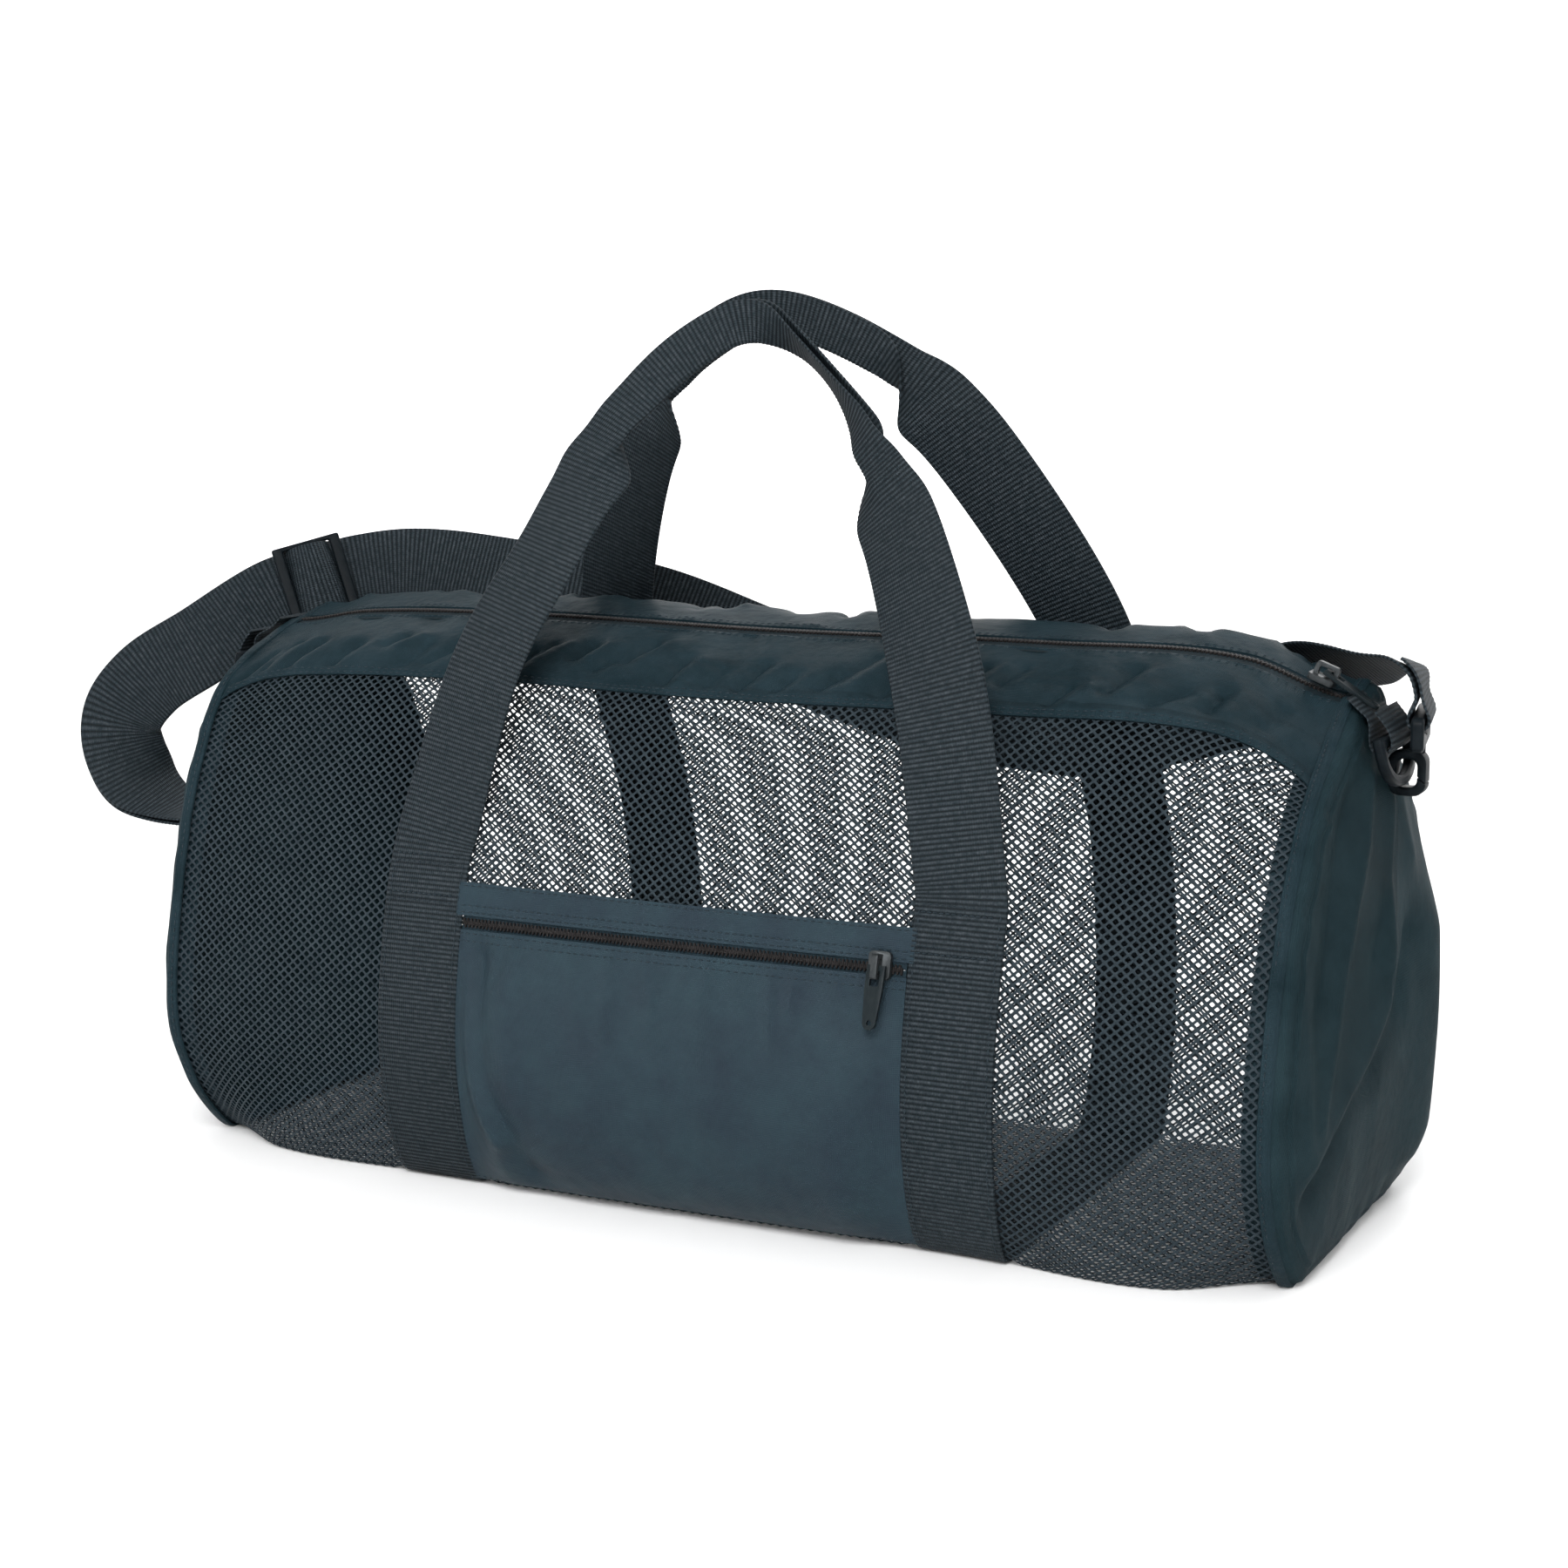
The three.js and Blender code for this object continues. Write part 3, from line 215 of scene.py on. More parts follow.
# %% Meshes from grids
def new_piece(name, points, faces, material, slot, uv=None, crease=None):
    """An object of its own at the origin, from points in mm; crease is the angle that stays sharp."""
    mesh = bpy.data.meshes.new(name)
    mesh.from_pydata(np.asarray(points, float) * MM, [], [list(face) for face in faces])
    if uv is not None:
        corner = np.zeros(len(mesh.loops), np.int32)
        mesh.loops.foreach_get("vertex_index", corner)
        layer = mesh.uv_layers.new(name="cloth")
        layer.data.foreach_set("uv", (np.asarray(uv, float) * MM)[corner].astype(np.float32).ravel())
    mesh.materials.append(material)
    mesh.shade_smooth()
    piece = bpy.data.objects.new(name, mesh)
    bpy.context.scene.collection.objects.link(piece)
    if crease is not None:
        mesh.set_sharp_from_angle(angle=math.radians(crease))
    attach(piece, "bag")
    return piece


def grid_normals(grid, ring=False):
    """Unit normals of a grid of points, facing out where rows run along +X and columns run up the front."""
    along = np.gradient(grid, axis=0)
    if ring:
        across = np.roll(grid, -1, axis=1) - np.roll(grid, 1, axis=1)
    else:
        across = np.gradient(grid, axis=1)
    normal = np.cross(along, across)
    return normal / np.maximum(np.linalg.norm(normal, axis=2, keepdims=True), 1e-9)


def wall(outer, inner, ring=False, pole=False):
    """Points and faces of the closed wall between two grids.

    With ring the last column meets the first, and with pole the first row is closed by a fan.
    """
    rows, columns = outer.shape[:2]
    count = rows * columns
    index = np.arange(count).reshape(rows, columns)
    if ring:
        index = np.concatenate([index, index[:, :1]], axis=1)
    corners = [index[:-1, :-1], index[1:, :-1], index[1:, 1:], index[:-1, 1:]]
    skin = np.stack(corners, -1).reshape(-1, 4)
    faces = [skin, skin[:, ::-1] + count]
    edges = [(index[-1, 1:], index[-1, :-1])]
    if not pole:
        edges.append((index[0, :-1], index[0, 1:]))
    if not ring:
        edges += [(index[1:, 0], index[:-1, 0]), (index[:-1, -1], index[1:, -1])]
    for a, b in edges:
        faces.append(np.stack([a, b, b + count, a + count], -1))
    points = np.concatenate([outer.reshape(-1, 3), inner.reshape(-1, 3)])
    faces = np.concatenate(faces).tolist()
    if pole:
        points = np.concatenate([points, [outer[0].mean(axis=0)], [inner[0].mean(axis=0)]])
        for a, b in zip(index[0, :-1].tolist(), index[0, 1:].tolist()):
            faces.append([2 * count, a, b])
            faces.append([2 * count + 1, b + count, a + count])
    return points, faces


def grid_uv(grid):
    """Distances in mm across and along a grid, for both sides of its wall."""
    across = np.linalg.norm(np.diff(grid, axis=1), axis=2)
    along = np.linalg.norm(np.diff(grid, axis=0), axis=2)
    u = np.concatenate([np.zeros((len(grid), 1)), np.cumsum(across, axis=1)], axis=1)
    v = np.concatenate([np.zeros((1, grid.shape[1])), np.cumsum(along, axis=0)], axis=0)
    uv = np.stack([u, v], -1).reshape(-1, 2)
    return np.concatenate([uv, uv])


CLOTH_THICK, CLOTH_CREASE = 0.7, 50  # mm, degrees
NOISE_SIZE = 61


def cloth(name, grid, material, slot, thick=CLOTH_THICK, ring=False, pole=False):
    """A sheet of cloth through a grid of points, half its thickness to each side."""
    normal = grid_normals(grid, ring)
    points, faces = wall(grid + normal * thick / 2, grid - normal * thick / 2, ring, pole)
    uv = grid_uv(grid)
    uv = np.concatenate([uv, uv[:len(points) - len(uv)]])
    return new_piece(name, points, faces, material, slot, uv=uv, crease=CLOTH_CREASE)


def ripple(x, y, seed):
    """Smooth noise from -1 to 1 over a grid of unit squares."""
    table = np.random.default_rng(seed).uniform(-1, 1, (NOISE_SIZE, NOISE_SIZE))
    i, j = np.floor(x).astype(int), np.floor(y).astype(int)
    a, b = x - i, y - j
    a, b = a * a * (3 - 2 * a), b * b * (3 - 2 * b)
    i0, i1, j0, j1 = (k % NOISE_SIZE for k in (i, i + 1, j, j + 1))
    low = table[i0, j0] * (1 - a) + table[i1, j0] * a
    high = table[i0, j1] * (1 - a) + table[i1, j1] * a
    return low * (1 - b) + high * b


def ease(value, low, high):
    """0 below low, 1 above high and a smooth rise between them."""
    t = np.clip((value - low) / (high - low), 0, 1)
    return t * t * (3 - 2 * t)


CREASE_ROUNDING = 0.3  # how round a fold's crest is, as a share of its width


def folds(a, b, table):
    """Height of ridges and hollows; a row holds the points of a fold's line, its width and its height."""
    total = np.zeros(np.broadcast(a, b).shape)
    for line, width, height in table:
        away = np.full(total.shape, np.inf)
        for (a0, b0), (a1, b1) in zip(line, line[1:]):
            run_a, run_b = a1 - a0, b1 - b0
            near = np.clip(((a - a0) * run_a + (b - b0) * run_b) / (run_a**2 + run_b**2), 0, 1)
            away = np.minimum(away, np.hypot(a - a0 - near * run_a, b - b0 - near * run_b))
        soft = CREASE_ROUNDING * width
        total += height * np.exp((soft - np.hypot(away, soft)) / width)
    return total


print("cloth helpers ready")

# %% [markdown]
# ## Finishes
# Everything on this bag is dark navy to charcoal, and the finishes differ in how they take the light: nylon
# taffeta is satin with a fine weave, net yarn is duller and greyer, webbing is ribbed and matt, zip tape is a
# tight dull twill, moulded plastic is smooth and the zip's metal is painted. Each is one Principled shader
# with its own small patterns. Constant numbers go on the shader itself and only colour, roughness and bump
# are driven by textures.

# %% Shader helpers
RAMP_LOW, RAMP_HIGH = 0.3, 0.7  # where in a noise its two colours are reached


def finish(name, roughness, **sockets):
    """A new material, its node tree and its shader; sockets are set by name, with spaces as underscores."""
    material = bpy.data.materials.new(name)
    material.use_nodes = True
    shader = material.node_tree.nodes["Principled BSDF"]
    shader.inputs["Roughness"].default_value = roughness
    for socket, value in sockets.items():
        shader.inputs[socket.replace("_", " ")].default_value = value
    return material, material.node_tree, shader


def pattern(tree, kind, scale, source="Object", turn=0.0, **sockets):
    """A texture node on object or UV coordinates, turned about Z."""
    place = tree.nodes.new("ShaderNodeTexCoord")
    mapping = tree.nodes.new("ShaderNodeMapping")
    mapping.inputs["Rotation"].default_value = (0, 0, turn)
    texture = tree.nodes.new("ShaderNodeTex" + kind)
    texture.inputs["Scale"].default_value = scale
    for socket, value in sockets.items():
        texture.inputs[socket.replace("_", " ")].default_value = value
    tree.links.new(place.outputs[source], mapping.inputs["Vector"])
    tree.links.new(mapping.outputs["Vector"], texture.inputs["Vector"])
    return texture


def blend_colours(tree, texture, dark, light):
    """A colour that goes from dark to light with a texture."""
    ramp = tree.nodes.new("ShaderNodeValToRGB")
    ramp.color_ramp.elements[0].position = RAMP_LOW
    ramp.color_ramp.elements[1].position = RAMP_HIGH
    ramp.color_ramp.elements[0].color = (*dark, 1)
    ramp.color_ramp.elements[1].color = (*light, 1)
    tree.links.new(texture.outputs["Fac"], ramp.inputs["Fac"])
    return ramp.outputs["Color"]


def level(tree, texture, low, high):
    """A number that goes from low to high with a texture."""
    spread = tree.nodes.new("ShaderNodeMapRange")
    spread.inputs["To Min"].default_value = low
    spread.inputs["To Max"].default_value = high
    tree.links.new(texture.outputs["Fac"], spread.inputs["Value"])
    return spread.outputs["Result"]


def mottle(tree, shader, texture, colours, roughness):
    """Lets a texture drive the shader's colour and roughness, each between two values."""
    tree.links.new(blend_colours(tree, texture, *colours), shader.inputs["Base Color"])
    tree.links.new(level(tree, texture, *roughness), shader.inputs["Roughness"])


def raise_bump(tree, shader, bumps):
    """Bumps one after another into the shader's normal: each is a texture, a depth in mm and a strength."""
    normal = None
    for texture, depth, strength in bumps:
        bump = tree.nodes.new("ShaderNodeBump")
        bump.inputs["Strength"].default_value = strength
        bump.inputs["Distance"].default_value = depth * MM
        tree.links.new(texture.outputs["Fac"], bump.inputs["Height"])
        if normal is not None:
            tree.links.new(normal, bump.inputs["Normal"])
        normal = bump.outputs["Normal"]
    tree.links.new(normal, shader.inputs["Normal"])


print("shader helpers ready")

# %% Nylon, in the bands and ends and in the pocket
BLOTCH_SCALE, TAFFETA_SCALE, CRUMPLE_SCALE = 30, 420, 160
TAFFETA_DEPTH, CRUMPLE_DEPTH = 0.06, 0.9
SATIN = (0.36, 0.52)  # roughness


def nylon(name, dark, light, gloss, crinkle):
    """Satin taffeta: a fine square weave, soft blotches of tone and a low gloss."""
    material, tree, shader = finish(name, 0.5, Specular_IOR_Level=gloss)
    blotch = pattern(tree, "Noise", BLOTCH_SCALE, Detail=9.0, Roughness=0.74)
    mottle(tree, shader, blotch, (dark, light), SATIN)
    bumps = []
    for turn in (0, math.pi / 2):
        thread = pattern(tree, "Wave", TAFFETA_SCALE, "UV", turn, Distortion=0.6, Detail=1.0)
        bumps.append((thread, TAFFETA_DEPTH, 1))
    crumple = pattern(tree, "Noise", CRUMPLE_SCALE, Detail=3.0)
    raise_bump(tree, shader, [*bumps, (crumple, CRUMPLE_DEPTH, crinkle)])
    return material


BAND_NYLON = nylon("band_nylon", (0.006, 0.014, 0.018), (0.016, 0.030, 0.038), 0.025, 0.9)
END_NYLON = nylon("end_nylon", (0.008, 0.017, 0.021), (0.017, 0.032, 0.038), 0.008, 0.6)
POCKET_NYLON = nylon("pocket_nylon", (0.015, 0.024, 0.034), (0.021, 0.039, 0.049), 0.07, 0.5)
print("nylon", BAND_NYLON.name, END_NYLON.name, POCKET_NYLON.name)

# %% Net yarn, zip tape and thread
YARN_TONE_SCALE, YARN_GRAIN_SCALE = 220, 1900
TWILL_TURN = math.radians(32)
YARN_SPREAD = 0.08  # of roughness, both ways


def yarn(name, dark, light, twill_scale, depth, rough):
    """Matt woven yarn: fine slanted twill along the UV map and a mottled tone."""
    material, tree, shader = finish(name, rough, Specular_IOR_Level=0.1)
    tone = pattern(tree, "Noise", YARN_TONE_SCALE, Detail=3.0)
    mottle(tree, shader, tone, (dark, light), (rough - YARN_SPREAD, rough + YARN_SPREAD))
    twill = pattern(tree, "Wave", twill_scale, "UV", TWILL_TURN, Distortion=1.2, Detail=1.0)
    grain = pattern(tree, "Noise", YARN_GRAIN_SCALE, Detail=2.0)
    raise_bump(tree, shader, [(twill, depth, 1), (grain, depth, 1)])
    return material


NET_YARN = yarn("net_yarn", (0.014, 0.022, 0.028), (0.026, 0.037, 0.045), 900, 0.04, 0.6)
ZIP_TAPE = yarn("zip_tape", (0.006, 0.012, 0.015), (0.012, 0.020, 0.025), 700, 0.08, 0.75)
POCKET_TAPE = yarn("pocket_tape", (0.009, 0.018, 0.024), (0.016, 0.029, 0.038), 700, 0.08, 0.75)
THREAD = yarn("sewing_thread", (0.012, 0.020, 0.026), (0.022, 0.033, 0.041), 1500, 0.03, 0.5)
print("yarns", NET_YARN.name, ZIP_TAPE.name, POCKET_TAPE.name, THREAD.name)

# %% Webbing weave
RIB_PITCH = 2.0  # mm
WAVE_PERIOD = math.pi / 10  # a band texture repeats after this much of its scaled coordinate
WEB_TONE_SCALE, FLECK_SCALE, WEAVE_DEPTH = 420, 1100, 0.18
# RIB_LIGHT spreads the painted shade in the grooves between ribs; FLECK_LIGHT spreads the yarn's own flecks
RIB_LIGHT, FLECK_LIGHT, WEB_ROUGH = (0.05, 1.0), (0.1, 1.6), (0.54, 0.7)
MIX_FACTOR, MIX_FROM, MIX_TO, MIX_RESULT = 0, 6, 7, 2  # places of a colour mix's sockets


def webbing_weave(name, groove_shade, dark, light):
    """Ribs along the UV map's second direction, each broken into yarns, with painted shade darkening the
    grooves between them and the yarn's own dark flecks.
    """
    material, tree, shader = finish(name, 0.62, Specular_IOR_Level=0.12)
    rib_scale = WAVE_PERIOD / (RIB_PITCH * MM)
    ribs = pattern(tree, "Wave", rib_scale, "UV", math.pi / 2, Phase_Offset=math.pi / 2)
    yarns = pattern(tree, "Wave", 2 * rib_scale, "UV", Distortion=1.5, Detail=1.0)
    tone = pattern(tree, "Noise", WEB_TONE_SCALE, Detail=3.0)
    fleck = pattern(tree, "Noise", FLECK_SCALE, "UV", Detail=2.0)
    # the colour's mix factor: the ribs paint shade into their grooves, and the flecks are the yarn's own dark
    # speckle
    rib_shade_and_fleck = tree.nodes.new("ShaderNodeMath")
    rib_shade_and_fleck.operation = "MULTIPLY"
    tree.links.new(level(tree, ribs, *RIB_LIGHT), rib_shade_and_fleck.inputs[0])
    tree.links.new(level(tree, fleck, *FLECK_LIGHT), rib_shade_and_fleck.inputs[1])
    shade = tree.nodes.new("ShaderNodeMix")
    shade.data_type = "RGBA"
    shade.inputs[MIX_FROM].default_value = (*groove_shade, 1)
    tree.links.new(rib_shade_and_fleck.outputs["Value"], shade.inputs[MIX_FACTOR])
    tree.links.new(blend_colours(tree, tone, dark, light), shade.inputs[MIX_TO])
    tree.links.new(shade.outputs[MIX_RESULT], shader.inputs["Base Color"])
    tree.links.new(level(tree, tone, *WEB_ROUGH), shader.inputs["Roughness"])
    raise_bump(tree, shader, [(ribs, WEAVE_DEPTH, 1), (yarns, WEAVE_DEPTH, 1)])
    return material


# the first colour is painted shade, for the grooves between the ribs
WEBBING = webbing_weave("webbing_weave", (0.003, 0.006, 0.008), (0.017, 0.026, 0.032), (0.043, 0.054, 0.063))
print("webbing", WEBBING.name)

# %% Painted metal and moulded plastic
WEAR_SCALE, MOULD_DEPTH = 240, 0.03
WEAR_SMOOTH, WEAR_ROUGH = 0.1, 0.12  # how far wear changes the roughness


def hard(name, dark, light, rough, metallic, grain_scale, gloss=0.1):
    """A smooth hard finish with faint mould grain and handling wear in its gloss."""
    material, tree, shader = finish(name, rough, Metallic=metallic, Specular_IOR_Level=gloss)
    wear = pattern(tree, "Noise", WEAR_SCALE, Detail=5.0, Roughness=0.65)
    mottle(tree, shader, wear, (dark, light), (rough - WEAR_SMOOTH, rough + WEAR_ROUGH))
    grain = pattern(tree, "Noise", grain_scale, Detail=2.0)
    raise_bump(tree, shader, [(grain, MOULD_DEPTH, 1)])
    return material


PLASTIC = hard("moulded_plastic", (0.003, 0.005, 0.007), (0.007, 0.010, 0.012), 0.42, 0.0, 2600, 0.06)
PULL_METAL = hard("dark_enamel", (0.006, 0.010, 0.012), (0.012, 0.017, 0.019), 0.4, 0.0, 3200)
ZIP_METAL = hard("painted_metal", (0.022, 0.026, 0.028), (0.045, 0.050, 0.053), 0.36, 0.6, 3200, 0.3)
ZIP_COIL = hard("zip_coil", (0.009, 0.008, 0.008), (0.020, 0.018, 0.018), 0.5, 0.0, 4000)
print("hard finishes", PLASTIC.name, ZIP_METAL.name, ZIP_COIL.name)

# %% [markdown]
# ## Net
# The bag's body is knitted net with rounded square holes standing on their corners. A see-through pattern in
# the material would be lighter, but it has no edge and no shadow of its own. Here every hole is real: each
# cell is a diamond between four knots, with an eight-cornered hole in it, and the knots stand a little proud
# so that the strands look round. The net is cut at the handle legs and under the bag, where nothing shows
# of the joins, and its top edges run on under the bands.

# %% Net lattice
HOLE_HALF_X, HOLE_HALF_GIRTH = 2.2, 1.95  # half-diagonals of a cell
STRAND = 0.86
NET_SEAT = -0.7
STRAND_RIDGE = 0.32
HOLE_ROUNDING = 0.12  # how far the hole's corners are cut, as a share of its size
BAND_CORNER, SHOULDER_CLOTH = 26, 52
NET_TUCK, TUCK_ROWS = 4, 3  # mm of net beneath a band, and rows that are enough for it


def band_drop(x):
    """How far the bands' lower edges curve down at the end seams, in keys."""
    past = np.clip((np.abs(x) - SEAM_X + BAND_CORNER) / BAND_CORNER, 0, 1)
    return BAND_CORNER * (1 - np.sqrt(1 - past**2)) / SHOULDER_CLOTH


edge_length = math.hypot(HOLE_HALF_X, HOLE_HALF_GIRTH)
open_share = 1 - STRAND / 2 * edge_length / (HOLE_HALF_X * HOLE_HALF_GIRTH)
hole_x = HOLE_HALF_X * open_share * (1 - HOLE_ROUNDING)
hole_girth = HOLE_HALF_GIRTH * open_share * (1 - HOLE_ROUNDING)
edge_x = HOLE_HALF_X * HOLE_HALF_GIRTH**2 / edge_length**2 * open_share
edge_girth = HOLE_HALF_GIRTH * HOLE_HALF_X**2 / edge_length**2 * open_share
HOLE_CORNERS = [
    (hole_x, 0), (edge_x, edge_girth), (0, hole_girth), (-edge_x, edge_girth),
    (-hole_x, 0), (-edge_x, -edge_girth), (0, -hole_girth), (edge_x, -edge_girth),
]
KNOTS = [(1, 0), (0, 1), (-1, 0), (0, -1)]


def net_sheet(name, x_low, x_high, u_low=BACK_SHOULDER, u_high=FRONT_SHOULDER):
    """The net between two lengths and two keys, with one vertex for each knot and eight for each hole."""
    columns = np.arange(math.floor(x_low / HOLE_HALF_X), math.ceil(x_high / HOLE_HALF_X) + 1)
    rows = np.arange(1, math.floor(length_at(FRONT_SHOULDER) / HOLE_HALF_GIRTH) + TUCK_ROWS)
    i, j = (grid.ravel() for grid in np.meshgrid(columns, rows, indexing="ij"))
    x, u = i * HOLE_HALF_X, key_at(j * HOLE_HALF_GIRTH)
    drop = band_drop(x) - NET_TUCK / SHOULDER_CLOTH
    inside = (x >= x_low) & (x < x_high) & ((i + j) % 2 == 0)
    inside &= (u > BACK_SHOULDER + drop) & (u < FRONT_SHOULDER - drop)
    inside &= (u >= u_low) & ((u < u_high) | (u_high == FRONT_SHOULDER))
    i, j = i[inside], j[inside]
    knot_places = np.concatenate([np.stack([i + a, j + b], -1) for a, b in KNOTS])
    knots, knot_of = np.unique(knot_places, axis=0, return_inverse=True)
    knot_of = knot_of.reshape(len(KNOTS), -1)
    knot_points = body_point(
        np.clip(knots[:, 0] * HOLE_HALF_X, -SEAM_X, SEAM_X),
        key_at(knots[:, 1] * HOLE_HALF_GIRTH), NET_SEAT + STRAND_RIDGE)
    hole_points = [
        body_point(np.clip(i * HOLE_HALF_X + a, -SEAM_X, SEAM_X), key_at(j * HOLE_HALF_GIRTH + b), NET_SEAT)
        for a, b in HOLE_CORNERS
    ]
    holes, count = len(i), len(knots)
    corner = [count + k * holes + np.arange(holes) for k in range(len(HOLE_CORNERS))]
    faces = []
    for k in range(len(KNOTS)):
        here, there = knot_of[k], knot_of[(k + 1) % len(KNOTS)]
        near, middle, far = (corner[(2 * k + n) % len(corner)] for n in range(3))
        faces += [(here, middle, near), (here, there, middle), (there, far, middle)]
    triangles = np.concatenate([np.stack(face, -1) for face in faces])
    points = np.concatenate([knot_points, *hole_points])
    flat = np.concatenate([
        knots * (HOLE_HALF_X, HOLE_HALF_GIRTH),
        *[np.stack([i * HOLE_HALF_X + a, j * HOLE_HALF_GIRTH + b], -1) for a, b in HOLE_CORNERS],
    ])
    piece = new_piece(name, points, triangles, NET_YARN, "net", uv=flat)
    print(name, holes, "holes", len(triangles), "triangles")
    return piece


net_sheet("net_left", -SEAM_X, LEG_X["left"])
net_front = net_sheet("net_front", LEG_X["left"], LEG_X["right"], u_low=UNDER_KEY)
net_sheet("net_back", LEG_X["left"], LEG_X["right"], u_high=UNDER_KEY)
net_sheet("net_right", LEG_X["right"], SEAM_X)
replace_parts(net_front, "mesh_wrap")

# %% [markdown]
# ## Nylon bands beside the zip
# A band of nylon runs along each side of the top zip. Sewing gathers it a little, so it stands in short
# slanted puckers, deepest along its lower seam and beside the zip. The band is a grid on the bag's form with
# those puckers added as height, because they have to catch the light from every side.

# %% Top bands
BAND_SEAT = 0.5
BAND_STEP = 1.7  # mm between grid lines
BAND_LAP = 2.0  # mm that a band laps over the net
FRONT_TOP, BACK_TOP = 19.99, 21.01  # keys of the bands' edges beside the zip
PUCKER_HEIGHT, PUCKER_SLANT = 1.5, 0.55
FINE_PUCKER, BROAD_PUCKER = (7.5, 26), (19, 40)  # mm along and up
# lowest and highest draw for a gather: foot and height as shares of the band's width, the rest in mm
GATHER_FOOT, GATHER_TALL, GATHER_LEAN, GATHER_WIDTH = (0.1, 0.42), (0.12, 0.36), (3, 9), (2.2, 4.2)
GATHER_DEPTH, SWELL_HEIGHT, GATHER_STEP = (1.8, 4.8), (0.5, 2.4), (8, 24)
SWELL_BESIDE, SWELL_WIDTH = 8, 1.8  # mm from its hollow, and how many times as wide
GATHERS_FROM, GATHERS_TO = 10, 14  # mm from the left and right end seams
BAND_ROWS = {}


def pucker(x, length, share, seed):
    """Height of a band's puckers; share runs from 0 at its lower seam to 1 at the zip."""
    slanted = x + PUCKER_SLANT * length
    fine = ripple(slanted / FINE_PUCKER[0], length / FINE_PUCKER[1], seed)
    broad = ripple(slanted / BROAD_PUCKER[0], length / BROAD_PUCKER[1] + 7, seed + 1)
    pull = 0.25 + 0.75 * np.abs(2 * share - 1) ** 2
    hold = ease(share, 0, 0.07) * ease(1 - share, 0, 0.06)
    return PUCKER_HEIGHT * hold * (0.55 * pull * fine + 0.6 * broad)


def gathers(wide, seed):
    """Short slanted hollows above the lower seam, each with a swelling beside it."""
    draw = np.random.default_rng(seed)
    rows = []
    x = GATHERS_FROM - SEAM_X
    while x < SEAM_X - GATHERS_TO:
        foot, tall = wide * draw.uniform(*GATHER_FOOT), wide * draw.uniform(*GATHER_TALL)
        lean, width = draw.uniform(*GATHER_LEAN), draw.uniform(*GATHER_WIDTH)
        hollow = [(x, foot), (x + lean, foot + tall)]
        rows.append((hollow, width, -draw.uniform(*GATHER_DEPTH)))
        swelling = [(a + SWELL_BESIDE, b) for a, b in hollow]
        rows.append((swelling, SWELL_WIDTH * width, draw.uniform(*SWELL_HEIGHT)))
        x += draw.uniform(*GATHER_STEP)
    return rows


def band_height(x, keys, seam, wide, seed):
    """How far a band's cloth stands off the bag's form."""
    slack = folds(x, seam * wide, gathers(wide, seed)) * ease(seam, 0.03, 0.14)
    return BAND_SEAT + pucker(x, length_at(keys), seam, seed) + slack


def band(name, node, low_key, high_key, seed):
    """A band between two rows of keys, each a function of x."""
    x = np.linspace(-SEAM_X, SEAM_X, round(2 * SEAM_X / BAND_STEP))
    low, high = low_key(x), high_key(x)
    wide = float(np.max(np.abs(length_at(high) - length_at(low))))
    share = np.linspace(0, 1, round(wide / BAND_STEP))
    x_grid = x[:, None] + 0 * share
    keys = low[:, None] + (high - low)[:, None] * share
    label = name.removeprefix("band_")
    seam = share if label == "front" else 1 - share
    height = band_height(x_grid, keys, seam + 0 * x_grid, wide, seed)
    piece = cloth(name, body_point(x_grid, keys, height), BAND_NYLON, "nylon")
    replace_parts(piece, node)
    BAND_ROWS[label] = (low_key, high_key, wide, seed)
    print(name, "wide", round(wide), "mm")


lap = BAND_LAP / SHOULDER_CLOTH
band("band_front", "top_band_front",
     lambda x: FRONT_SHOULDER - band_drop(x) - lap, lambda x: FRONT_TOP + 0 * x, seed=11)
band("band_back", "top_band_back",
     lambda x: BACK_TOP + 0 * x, lambda x: LOOP_END + band_drop(x) + lap, seed=23)

# %% [markdown]
# ## End panels
# Each end is one round piece of nylon, sewn in along the rim and fuller than it needs to be, so it stands out
# in the middle and falls in a few long folds. It is a grid of rings from the rim to the middle, and each fold
# is a smooth ridge or hollow along a line. A narrow folded edge of nylon shows outside the seam, and a tape
# binds the seam inside, which shows through the net.

# %% End panels
PANEL_CENTRE_Z = 104
PANEL_REACH = [1.0, 0.988, 0.94, 0.78, 0.58, 0.3, 0.0]
PANEL_OUT = [0.8, 4.2, 7.0, 9.0, 11.5, 14.0, 15.0]
PANEL_PUFF = {"left": 0.8, "right": 1.05}
FOLD_SHARE = {"left": 0.3, "right": 1.0}
RIM_GROOVE_AT, RIM_GROOVE, RIM_GROOVE_WIDE = 0.945, 0.9, 0.008
FOLD_FADE = 0.18
# y and z along a fold, width, height
FOLDS = [
    ([(-13, 188), (-24, 164), (-40, 143), (-54, 118), (-66, 92), (-78, 66)], 5, 2.8),
    ([(-38, 180), (-54, 150), (-70, 112)], 9, -3.0),
    ([(8, 176), (5, 150), (0, 120), (-10, 98), (-30, 82), (-58, 66), (-88, 50)], 8, 4.6),
    ([(24, 180), (8, 150), (-14, 118)], 10, -3.4),
    ([(34, 118), (20, 92), (-10, 74), (-44, 60), (-80, 36)], 9, -4.8),
    ([(66, 112), (62, 34)], 28, 11.0),
    ([(32, 198), (40, 150)], 9, 2.4),
    ([(-88, 116), (-90, 60)], 6, 1.8),
]
PANEL_RINGS, PANEL_SPOKES = 58, 240
RING_PACKING = 0.8  # below 1 the rings lie closer at the rim
RIM_GATHER, GATHERS_PER_KEY = 0.7, 6
SIDES = {"left": -1, "right": 1}


